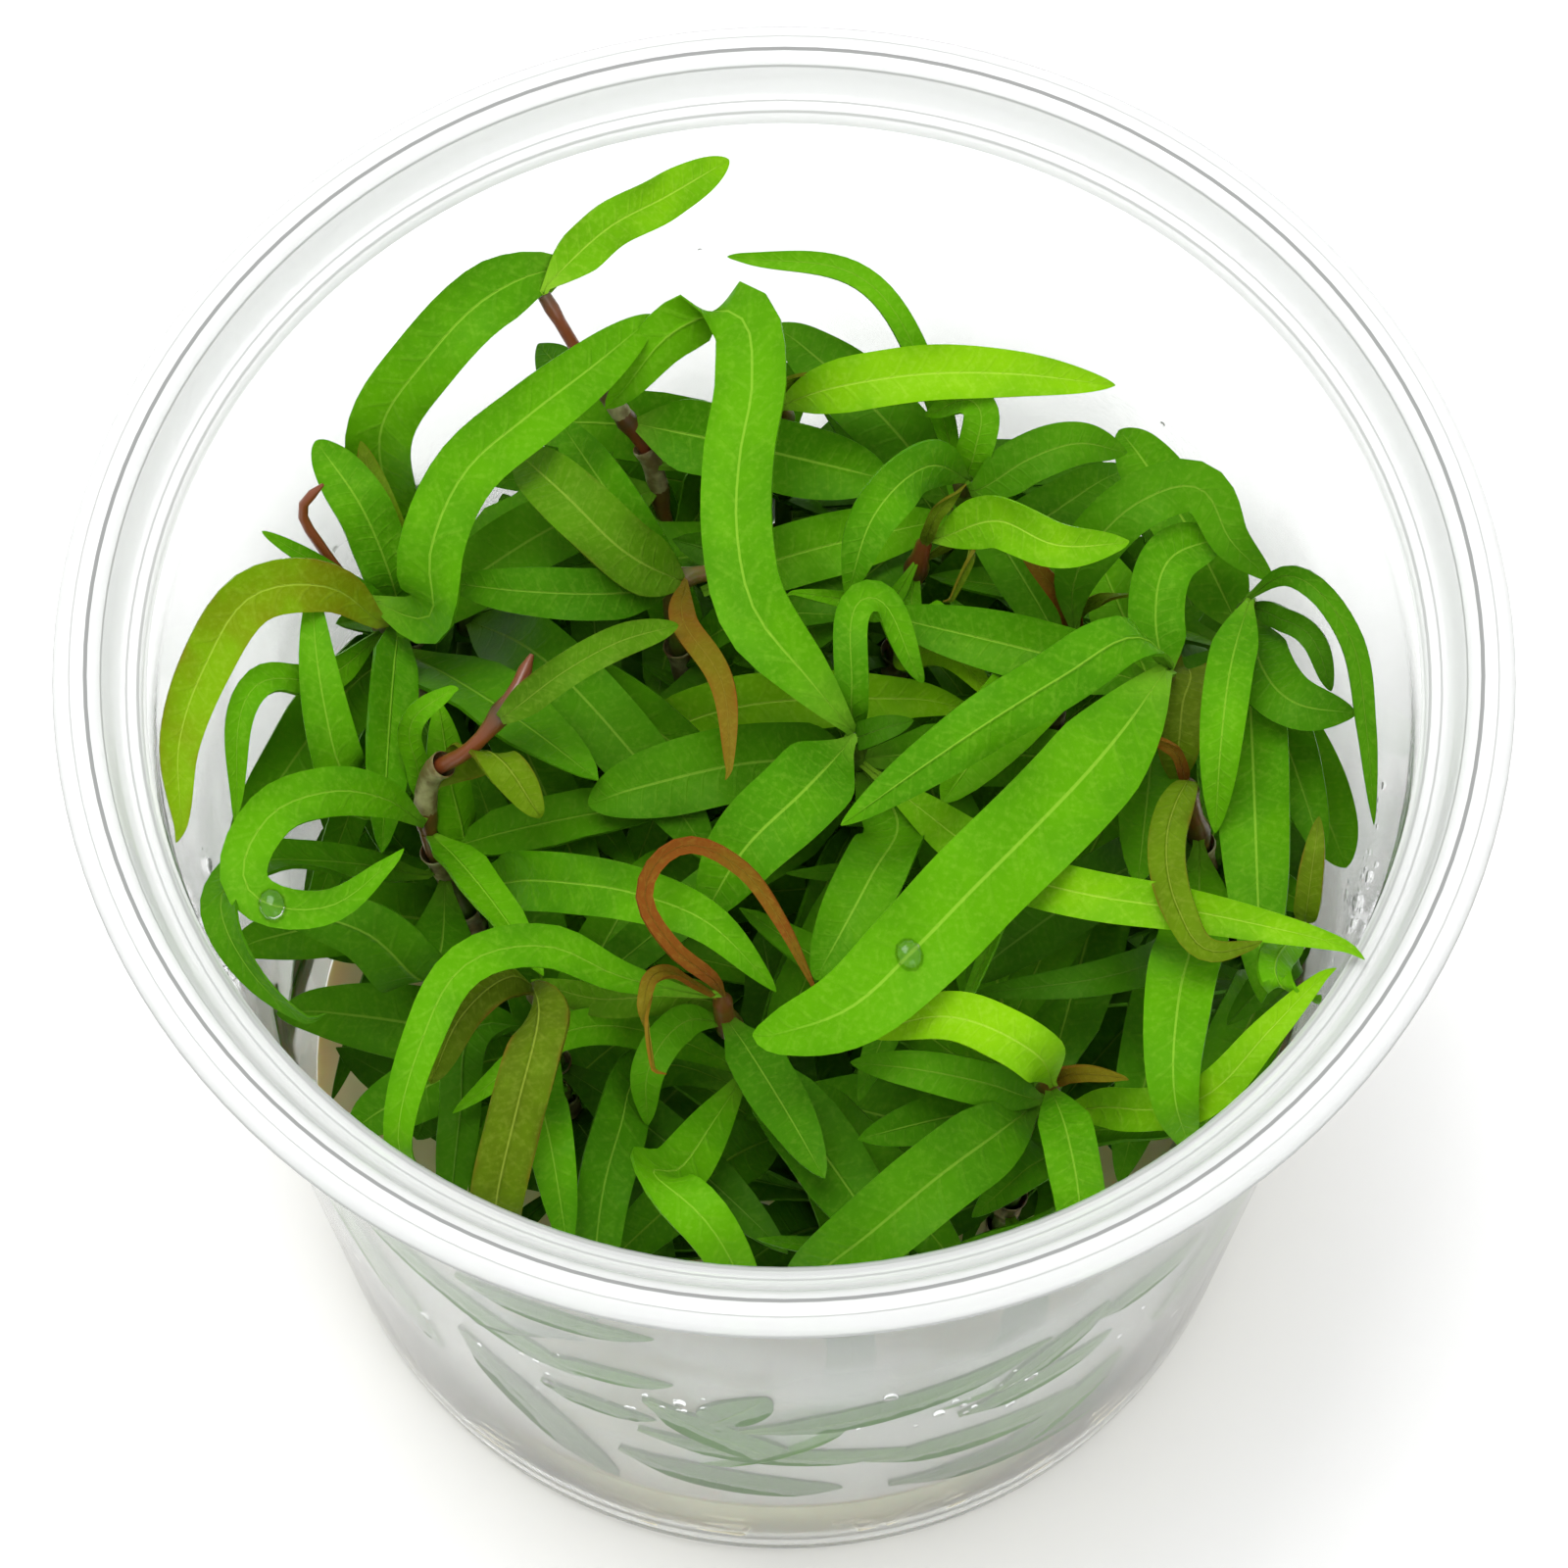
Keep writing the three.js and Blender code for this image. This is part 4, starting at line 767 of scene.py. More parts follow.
class TissuePattern:
    """The pattern of a leaf: pale midrib, faint side veins, fine cells, blotches and a margin.

    Across a blade 0 is the midrib and 1 the edge, and along it 0 is the base and 1 the tip.
    """

    name = "leaf tissue"
    colours = ("Blade", "Shade", "Vein", "Margin")
    amounts = ("Margin Reach", "Blotch")
    side_veins = 19.0
    cell_scale = 2400.0
    blotch_scale = 190.0
    midrib = (0.17, 0.06)
    furrow = (0.30, 0.08)

    @classmethod
    def group(cls) -> bpy.types.NodeTree:
        """Builds the pattern once and returns it."""
        if cls.name in bpy.data.node_groups:
            return bpy.data.node_groups[cls.name]
        group = bpy.data.node_groups.new(cls.name, "ShaderNodeTree")
        sockets = [("INPUT", label, "Color") for label in cls.colours]
        sockets += [("INPUT", label, "Float") for label in cls.amounts]
        sockets += [("OUTPUT", "Color", "Color"), ("OUTPUT", "Roughness", "Float")]
        sockets += [("OUTPUT", "Height", "Float")]
        for way, label, kind in sockets:
            group.interface.new_socket(label, in_out=way, socket_type=f"NodeSocket{kind}")
        wire = Wiring(group)
        entry = group.nodes.new("NodeGroupInput").outputs
        wire.put(group.nodes.new("NodeGroupOutput"), cls._draw(wire, entry))
        return group

    @classmethod
    def _draw(cls, wire: Wiring, entry: bpy.types.NodeOutputs) -> dict:
        """Draws the pattern.

        Args:
            wire: The group's wiring.
            entry: The group's inputs.

        Returns:
            The sockets of the group's outputs, by name.
        """
        spot, sheet = wire.place(), wire.place("UV")
        along = wire.axis(sheet, "Y")
        across = wire.math("ABSOLUTE", wire.math("SUBTRACT", wire.axis(sheet, "X"), 0.5))
        across = wire.times(across, 2.0)
        cells = wire.noise(spot, cls.cell_scale, 2.0)
        blotches = wire.noise(spot, cls.blotch_scale)
        slanted = wire.math("SUBTRACT", wire.times(along, cls.side_veins), across)
        wave = wire.math("SINE", wire.times(slanted, math.tau))
        side_vein = wire.times(wire.step(wave, 0.75, 1.0), wire.step(across, 0.95, 0.5))

        lean = wire.shares(
            wire.times(wire.step(blotches, 0.34, 0.68), entry["Blotch"]),
            (wire.attribute("tint"), 0.42),
            (wire.step(across, 0.55, 1.0), 0.20),
            (wire.step(along, 0.55, 0.05), 0.45),
        )
        colour = wire.mix(wire.step(lean, -0.35, 1.15), entry["Blade"], entry["Shade"])
        speckle = wire.times(wire.step(cells, 0.44, 0.74), 0.12)
        colour = wire.mix(speckle, colour, entry["Vein"])
        colour = wire.mix(wire.times(side_vein, 0.05), colour, entry["Vein"])
        edge = wire.math("ADD", across, wire.shares(-0.35, (blotches, 0.7)))
        edge = wire.math("ADD", edge, entry["Margin Reach"])
        colour = wire.mix(wire.step(edge, 0.98, 1.40), colour, entry["Margin"])
        midrib = wire.times(wire.step(across, *cls.midrib), wire.step(along, 1.0, 0.7))
        stalk = wire.times(wire.step(along, 0.14, 0.0), 0.6)
        pale = wire.times(wire.math("MAXIMUM", midrib, stalk), 0.46)

        furrow = wire.times(wire.step(across, *cls.furrow), -0.5)
        return {
            "Color": wire.mix(pale, colour, entry["Vein"]),
            "Roughness": wire.shares(0.26, (blotches, 0.30)),
            "Height": wire.shares(furrow, (side_vein, -0.22), (cells, 0.30), (blotches, 3.2)),
        }


@dataclass(frozen=True)
class LeafFinish(Finish):
    """A leaf's finish: the colours of its blade, shade, veins and margin."""

    slot: str
    blade: tuple
    shade: tuple
    vein: tuple
    margin: tuple
    margin_reach: float = 0.0
    blotch: float = 0.55
    sheen: tuple = (0.85, 1.0, 0.4)

    def look(self, wire: Wiring) -> dict:
        """Returns what the shader's inputs are set to or linked with."""
        tones = (self.blade, self.shade, self.vein, self.margin)
        values = dict(zip(TissuePattern.colours, tones))
        values |= dict(zip(TissuePattern.amounts, (self.margin_reach, self.blotch)))
        pattern = wire.add("Group", values, node_tree=TissuePattern.group()).outputs
        return {
            "Base Color": pattern["Color"],
            "Roughness": pattern["Roughness"],
            "Normal": wire.bump(pattern["Height"], 0.5, 0.0002),
            "IOR": 1.42,
            "Specular IOR Level": 0.06,
            "Specular Tint": self.sheen,
        }


class Leafage(Enum):
    """The leaf finishes, from the youngest tips to the leaves in the depth of the tuft. The bright,
    green and dark finishes are one green at three brightnesses: painted light and shade.
    """

    LIME = LeafFinish(
        "leaf_lime",
        (0.175, 0.40, 0.003),
        (0.10, 0.29, 0.003),
        (0.40, 0.60, 0.06),
        (0.16, 0.24, 0.010),
    )
    # painted light: the green made brighter for leaves high in the tuft
    BRIGHT = LeafFinish(
        "leaf_bright",
        (0.080, 0.268, 0.002),
        (0.044, 0.178, 0.002),
        (0.27, 0.48, 0.04),
        (0.06, 0.16, 0.006),
    )
    # the same green at its middle brightness
    GREEN = LeafFinish(
        "leaf_green",
        (0.050, 0.183, 0.002),
        (0.032, 0.130, 0.002),
        (0.19, 0.34, 0.03),
        (0.035, 0.10, 0.006),
    )
    # painted shade: the same green made darker for leaves deep in the tuft or under others
    DARK = LeafFinish(
        "leaf_dark",
        (0.032, 0.122, 0.002),
        (0.020, 0.080, 0.002),
        (0.11, 0.21, 0.025),
        (0.018, 0.055, 0.005),
    )
    TURNING = LeafFinish(
        "leaf_lime",
        (0.14, 0.285, 0.003),
        (0.130, 0.145, 0.003),
        (0.36, 0.50, 0.05),
        (0.16, 0.12, 0.008),
        margin_reach=0.08,
        blotch=0.75,
    )
    MOSS = LeafFinish(
        "leaf_olive",
        (0.060, 0.168, 0.003),
        (0.044, 0.114, 0.003),
        (0.24, 0.36, 0.04),
        (0.075, 0.075, 0.006),
        margin_reach=0.06,
        blotch=0.75,
    )
    OLIVE = LeafFinish(
        "leaf_olive",
        (0.085, 0.160, 0.003),
        (0.060, 0.098, 0.003),
        (0.27, 0.34, 0.04),
        (0.14, 0.045, 0.008),
        margin_reach=0.12,
        blotch=0.85,
    )
    RED = LeafFinish(
        "leaf_red",
        (0.120, 0.105, 0.005),
        (0.150, 0.046, 0.006),
        (0.30, 0.24, 0.03),
        (0.21, 0.050, 0.008),
        margin_reach=0.10,
        blotch=0.60,
    )

    @property
    def material(self) -> bpy.types.Material:
        """Returns the finish's material, built at first use."""
        name = f"leaf {self.name.lower()}"
        return bpy.data.materials.get(name) or self.value.material(name)


@dataclass(frozen=True)
class StemFinish(Finish):
    """A smooth stem, green below and red-brown where it is young, with darker joints."""

    foot: tuple = (0.30, 0.36, 0.12)
    green: tuple = (0.055, 0.12, 0.010)
    blush: tuple = (0.15, 0.038, 0.009)
    joint: tuple = (0.034, 0.030, 0.006)

    def look(self, wire: Wiring) -> dict:
        """Returns what the shader's inputs are set to or linked with."""
        spot = wire.place()
        grain = wire.noise(spot, 900.0)
        colour = wire.mix(wire.step(wire.axis(spot, "Z"), 0.010, 0.035), self.foot, self.green)
        young = wire.math("SUBTRACT", wire.attribute("blush"), 0.25)
        young = wire.shares(young, (grain, 0.5))
        colour = wire.mix(wire.step(young, 0.15, 0.75), colour, self.blush)
        return {
            "Base Color": wire.mix(
                wire.times(wire.attribute("joint"), 0.8), colour, self.joint
            ),
            "Roughness": wire.shares(0.2, (grain, 0.25)),
            "Normal": wire.bump(grain, 0.25, 0.0002),
        }


@dataclass(frozen=True)
class SheathFinish(Finish):
    """The papery sheath round a joint, pale and ribbed."""

    pale: tuple = (0.30, 0.30, 0.13)
    brown: tuple = (0.11, 0.080, 0.022)
    ribs: int = 14

    def look(self, wire: Wiring) -> dict:
        """Returns what the shader's inputs are set to or linked with."""
        turn = wire.times(wire.axis(wire.place("UV"), "X"), self.ribs * math.tau)
        ribs = wire.math("SINE", turn)
        mask = wire.shares(wire.noise(wire.place(), 700.0), (ribs, 0.16))
        return {
            "Base Color": wire.mix(wire.step(mask, 0.38, 0.72), self.brown, self.pale),
            "Normal": wire.bump(ribs, 0.3, 0.0001),
            "Roughness": 0.5,
            "Subsurface Weight": 0.2,
            "Subsurface Scale": 0.4 * MM,
        }


@dataclass(frozen=True)
class PlasticFinish(Finish):
    """Moulded plastic: clear in the wall and milkier where it is thick; its grey tints are painted
    shade along the rim's edges.
    """

    name: str
    tint: tuple = (0.96, 0.97, 0.965)
    transmission: float = 0.98
    roughness: float = 0.05
    ior: float = 1.16

    def look(self, wire: Wiring) -> dict:
        """Returns what the shader's inputs are set to or linked with."""
        flow = wire.noise(wire.place(), 55.0, 1.0)
        return {
            "Base Color": self.tint,
            "Roughness": wire.shares(self.roughness, (flow, 0.04)),
            "Normal": wire.bump(flow, 0.05, 0.0005),
            "Transmission Weight": self.transmission,
            "IOR": self.ior,
        }


@dataclass(frozen=True)
class MistFinish(Finish):
    """The white mist of fine drops inside the wall, uneven and thinner towards its top."""

    white: tuple = (0.95, 0.96, 0.94)
    shadow: tuple = (0.86, 0.90, 0.84)
    cover: float = 0.76
    uneven: float = 0.40
    fade: tuple = (0.078, 0.040)

    def look(self, wire: Wiring) -> dict:
        """Returns what the shader's inputs are set to or linked with."""
        spot = wire.place()
        patches = wire.noise(spot, 60.0, 2.0)
        thick = wire.shares(
            self.cover - self.uneven, (wire.step(patches, 0.34, 0.60), self.uneven)
        )
        return {
            "Base Color": wire.mix(wire.step(patches, 0.35, 0.65), self.shadow, self.white),
            "Alpha": wire.times(thick, wire.step(wire.axis(spot, "Z"), *self.fade)),
            "Normal": wire.bump(wire.noise(spot, 1500.0, 2.0), 0.2, 0.0002),
            "Roughness": 0.25,
            "Transmission Weight": 0.64,
            "IOR": 1.12,
        }


@dataclass(frozen=True)
class GelFinish(Finish):
    """Cloudy cream gel with a wet skin."""

    cream: tuple = (0.86, 0.85, 0.46)
    amber: tuple = (0.62, 0.60, 0.26)

    def look(self, wire: Wiring) -> dict:
        """Returns what the shader's inputs are set to or linked with."""
        clouds = wire.noise(wire.place(), 90.0)
        return {
            "Base Color": wire.mix(wire.step(clouds, 0.35, 0.7), self.cream, self.amber),
            "Normal": wire.bump(clouds, 0.3, 0.001),
            "Roughness": 0.18,
            "Transmission Weight": 0.25,
            "IOR": 1.35,
            "Subsurface Weight": 0.4,
            "Subsurface Scale": 4 * MM,
        }


@dataclass(frozen=True)
class RootFinish(Finish):
    """Root tissue, pale with a browner grain."""

    pale: tuple = (0.92, 0.88, 0.70)
    brown: tuple = (0.70, 0.62, 0.40)

    def look(self, wire: Wiring) -> dict:
        """Returns what the shader's inputs are set to or linked with."""
        grain = wire.noise(wire.place(), 800.0)
        return {"Base Color": wire.mix(grain, self.pale, self.brown), "Roughness": 0.55}


@dataclass(frozen=True)
class DropFinish(Finish):
    """Clear water."""

    clear: tuple = (1.0, 1.0, 1.0)

    def look(self, wire: Wiring) -> dict:
        """Returns what the shader's inputs are set to or linked with."""
        values = {"Roughness": 0.01, "Transmission Weight": 1.0, "IOR": 1.33}
        return {"Base Color": self.clear, **values}


@dataclass(frozen=True)
class FloorFinish(Finish):
    """The plain pale floor."""

    tone: tuple = (0.93, 0.93, 0.93)

    def look(self, wire: Wiring) -> dict:
        """Returns what the shader's inputs are set to."""
        return {"Base Color": self.tone, "Roughness": 0.9}


# Cup


@dataclass
class CultureCup:
    """The clear cup: its outer and inner profiles as radius and height in millimetres.

    The lines are painted shade: bands of radius on the rim's upper side, where the photograph shows
    it grey.
    """

    sides: int = 128
    outer: tuple = (
        (34.5, 0.0), (35.5, 0.15), (36.3, 0.6), (36.9, 1.4), (37.15, 2.6), (40.3, 34.0),
        (43.0, 62.0), (44.5, 77.6), (44.9, 81.2), (45.2, 81.7), (46.5, 82.2), (46.9, 82.7),
        (47.15, 84.2), (47.5, 84.75), (48.2, 84.95), (49.2, 84.8), (49.9, 84.62), (50.35, 84.75),
        (50.48, 85.05), (50.4, 85.35), (50.0, 85.6), (49.3, 85.85), (49.2, 85.87), (48.6, 85.97),
        (48.28, 85.96), (48.1, 85.95),
    )
    inner: tuple = (
        (48.0, 85.91), (47.7, 85.8), (47.2, 85.3), (47.1, 85.1), (46.7, 84.3), (46.1, 83.3),
        (45.85, 83.05), (45.65, 83.02), (45.5, 83.0), (45.2, 82.95), (44.9, 82.8), (44.7, 82.7),
        (44.25, 82.0), (43.8, 77.6), (42.3, 62.0), (39.6, 34.0), (36.45, 2.9), (36.2, 1.9),
        (35.6, 1.2), (34.8, 0.95), (33.5, 0.9),
    )
    rim_from: float = 81.4
    shade_lines_from: float = 82.6
    underside: float = -0.6
    # painted shade: grey bands on the rim that stand for the dark refraction lines along its edges
    strong_shade_lines: tuple = ((48.0, 48.28),)
    faint_shade_lines: tuple = (
        (49.2, 49.3), (47.1, 47.2), (45.5, 45.65), (44.7, 44.9), (50.36, 50.47),
    )
    finishes: tuple = (
        PlasticFinish("clear plastic"),
        PlasticFinish("rim plastic", (0.80, 0.81, 0.805), 0.42, 0.10, 1.30),
        # painted shade: grey plastic finishes for the rim's shade lines
        PlasticFinish("rim line", (0.24, 0.245, 0.24), 0.0, 0.3),
        PlasticFinish("faint rim line", (0.42, 0.43, 0.42), 0.1, 0.3),
    )

    def build(self) -> bpy.types.Object:
        """Raises the cup ring by ring from its underside, over the rim and down inside.

        Returns:
            The cup.
        """
        profile = [*self.outer, *self.inner]
        cup = start_ring(self.sides, *profile[0], filled=True)
        cup.name = "cup_shell"
        raise_ring(profile, filled=False)
        bpy.ops.mesh.edge_face_add()
        end_shaping()
        return cup

    def dress(self, cup: bpy.types.Object) -> None:
        """Gives the cup clear walls, a milkier rim and thin lines of painted shade along the rim's
        edges.

        Args:
            cup: The cup.
        """
        for finish in self.finishes:
            cup.data.materials.append(finish.material(finish.name))
        for face in cup.data.polygons:
            face.material_index = self._finish_of(face)
        smooth(cup, 50)

    def _finish_of(self, face: bpy.types.MeshPolygon) -> int:
        """Chooses a face's finish.

        Args:
            face: The face.

        Returns:
            The finish's number: wall, rim, strong or faint painted shade line.
        """
        height = face.center.z / MM
        if height <= self.rim_from:
            return 0
        radius = face.center.xy.length / math.cos(math.pi / self.sides) / MM
        # faces in these bands get the painted shade finishes
        if height > self.shade_lines_from and face.normal.z > self.underside:
            for number, bands in ((3, self.faint_shade_lines), (2, self.strong_shade_lines)):
                if any(low < radius < high for low, high in bands):
                    return number
        return 1

    def inner_radius(self, height: float) -> float:
        """Finds the radius of the inside.

        Args:
            height: The height in millimetres.

        Returns:
            The radius there in millimetres.
        """
        for (after, high), (before, low) in zip(self.inner, self.inner[1:]):
            if low <= height <= high:
                return before + (after - before) * (height - low) / (high - low)
        return self.inner[0][0]


@dataclass
class MistLayer:
    """The mist inside the wall, as a thin closed layer from above the gel to below the rim."""

    cup: CultureCup
    low: float = 13.3
    high: float = 79.0
    gap: float = 0.46
    thickness: float = 0.04
    bands: int = 12

    def build(self) -> bpy.types.Object:
        """Raises the layer from a ring and gives it its thickness.

        Returns:
            The layer.
        """
        step = (self.high - self.low) / self.bands
        heights = [self.low + step * band for band in range(self.bands + 1)]
        profile = [(self.cup.inner_radius(height) - self.gap, height) for height in heights]
        layer = start_ring(self.cup.sides, *profile[0], filled=False)
        layer.name = "wall_mist"
        raise_ring(profile, filled=False)
        end_shaping()
        apply_modifier(layer, "SOLIDIFY", thickness=self.thickness * MM, offset=-1.0)
        layer.data.materials.append(MistFinish().material("mist"))
        smooth(layer, 50)
        return layer


# Gel


@dataclass
class Gel:
    """The layer of gel, a little clear of the cup's wall, with its edge drawn up all round."""

    sides: int = 96
    profile: tuple = (
        (34.3, 1.2), (35.6, 1.9), (36.05, 3.1), (36.6, 8.0), (37.0, 12.75), (36.4, 12.5),
    )
    insets: tuple = (1.6, 3.0, 5.0, 7.0, 8.0)
    dip: float = 0.02

    def build(self) -> bpy.types.Object:
        """Raises the gel from a disc and draws its top in ring by ring.

        Returns:
            The gel.
        """
        gel = start_ring(self.sides, *self.profile[0], filled=True)
        gel.name = "gel_layer"
        raise_ring(self.profile, filled=True)
        for inset in self.insets:
            bpy.ops.mesh.inset(thickness=inset * MM, depth=-self.dip * MM)
        end_shaping()
        gel.data.materials.append(GelFinish().material("gel"))
        smooth(gel)
        return gel


# Tubes that stems, sheaths and roots are laid from


def tube_form(name: str, sides: int, rows: int, hollow: bool = False) -> bpy.types.Object:
    """Models a straight tube of unit radius, from -1 to 1 along Y, that routes are laid with.

    Args:
        name: The form's name.
        sides: Its sides.
        rows: Its rows of faces.
        hollow: Whether its ends are open.

    Returns:
        The tube.
    """
    deselect()
    bpy.ops.mesh.primitive_circle_add(
        vertices=sides,
        radius=1,
        fill_type="NOTHING" if hollow else "NGON",
        rotation=(math.pi / 2, 0, 0),
        location=(0, -1, 0),
    )
    bpy.ops.object.transform_apply(location=True, rotation=True, scale=True)
    form = start_shaping()
    form.name = name
    extrude = bpy.ops.mesh.extrude_edges_move if hollow else bpy.ops.mesh.extrude_region_move
    for _ in range(rows):
        extrude(TRANSFORM_OT_translate={"value": (0, 2 / rows, 0)})
    end_shaping()
    return form


def lay_tube(
    form: bpy.types.Object, spine: Spine, radius: Callable[[float], float], name: str
) -> bpy.types.Object:
    """Lays a copy of a straight tube along a route.

    Args:
        form: The straight tube.
        spine: The route.
        radius: A function of the share of the length, which gives the radius in metres.
        name: The new piece's name.

    Returns:
        The laid tube.
    """
    piece = copy_of(form, name)
    for vertex in piece.data.vertices:
        across, down, up = vertex.co
        share, turn = (down + 1) / 2, math.atan2(up, across)
        middle, side, face = spine.at(share)
        reach = radius(share) * math.hypot(across, up)
        vertex.co = middle + (side * math.cos(turn) + face * math.sin(turn)) * reach
    return piece


# Stems


@dataclass
class StemRoute:
    """A stem's route in millimetres, its radius at foot and top, and how red its young end is."""

    name: str
    points: tuple
    radii: tuple = (0.8, 0.6)
    blush: float = 0.3

    def spine(self) -> Spine:
        """Returns the route as a curve."""
        points = [Vector(point) * MM for point in self.points]
        return Spine(points, [Vector((1, 0, 0))] * len(points), stations=STEM_PARTS)

    def radius(self, share: float) -> float:
        """Returns the radius between the joints, in millimetres, at a share of the length."""
        return self.radii[0] + (self.radii[1] - self.radii[0]) * share


STEMS = (
    StemRoute(
        "stem_back_left",
        ((-7, 17, 6.4), (-8, 19, 35), (-8.2, 19.9, 62), (-8.9, 21.1, 66), (-9.7, 22.6, 71))
        + ((-11.3, 24, 74), (-14.1, 26.3, 78), (-17.2, 30, 82)),
        (0.8, 0.45),
        0.9,
    ),
    StemRoute(
        "stem_left",
        ((-17, -3, 6.4), (-20, -5, 30), (-22.6, -6.9, 54), (-24.1, -6.3, 61), (-25.3, -5.9, 68))
        + ((-24.9, -3.8, 73), (-21.9, -3.6, 77), (-19.1, -1.1, 79.5), (-17.6, 2, 80.5)),
        (0.95, 0.5),
        1.0,
    ),
    StemRoute(
        "stem_middle_back",
        ((-3, 7, 6.4), (-5, 9, 45), (-8.1, 11.2, 73), (-4.3, 12, 74)),
        (0.82, 0.6),
        0.4,
    ),
    StemRoute(
        "stem_front",
        ((5, -17, 6.4), (5, -21, 28), (1.9, -23.4, 48), (-0.9, -22.5, 61), (-4, -21.3, 70))
        + ((-4.3, -21, 74),),
        (0.95, 0.7),
        0.5,
    ),
    StemRoute(
        "stem_right",
        ((23, -5, 6.4), (28, -7, 40), (30.3, -6.5, 60), (29.8, -6.4, 66), (28.3, -5.4, 75)),
        (0.9, 0.6),
        0.5,
    ),
    StemRoute(
        "stem_centre_right",
        ((9, 13, 6.4), (9, 14, 40), (8.2, 12.6, 52), (8.4, 11.9, 65), (10.1, 13.1, 77)),
        (0.9, 0.6),
        0.8,
    ),
    StemRoute("stem_young", ((16, 6, 6.4), (19, 7, 50), (20.7, 7.1, 73)), (0.75, 0.5), 1.0),
    StemRoute(
        "stem_left_red",
        ((-18, 6, 6.4), (-23, 7, 42), (-26.7, 8.1, 64), (-28.6, 9.5, 69), (-30.8, 10.5, 74))
        + ((-32.8, 11.8, 78), (-34, 13.2, 81), (-32.4, 14.1, 83)),
        (0.8, 0.35),
        1.0,
    ),
    StemRoute("stem_back_right", ((11, 22, 6.4), (12, 23, 45), (13, 17.6, 77))),
    StemRoute("stem_far_right", ((27, 12, 6.4), (32, 13, 45), (33, 7.6, 78)), blush=0.2),
    StemRoute("stem_right_middle", ((20, 1, 6.4), (25, 4, 45), (27, 2, 78)), (0.85, 0.6)),
    StemRoute(
        "stem_front_right", ((15, -18, 6.4), (17, -22, 40), (18.4, -27.2, 73)), (0.85, 0.6), 0.4
    ),
    StemRoute("stem_wall_right", ((30, -8, 6.4), (35, -10, 45), (35.8, -17.6, 79)), (0.75, 0.5)),
    StemRoute("stem_centre", ((5, 1, 6.4), (6, 3, 45), (4.9, -2.4, 77)), (0.85, 0.6), 0.2),
    StemRoute("stem_front_left", ((-12, -16, 6.4), (-15, -19, 40), (-17, -21.4, 76)), (0.85, 0.6)),
    StemRoute("stem_back_wall", ((-22, 15, 6.4), (-26, 17, 45), (-27.8, 9.8, 72))),
    StemRoute("stem_back", ((0, 25, 6.4), (0, 27, 45), (-0.1, 24.2, 76)), blush=0.4),
    StemRoute("stem_left_back", ((-23, 10, 6.4), (-25, 12, 38), (-23, 15, 64)), (0.8, 0.55), 0.1),
    StemRoute("stem_middle", ((-11, 4, 6.4), (-13, 5, 38), (-13, 3, 64)), (0.8, 0.55), 0.1),
)


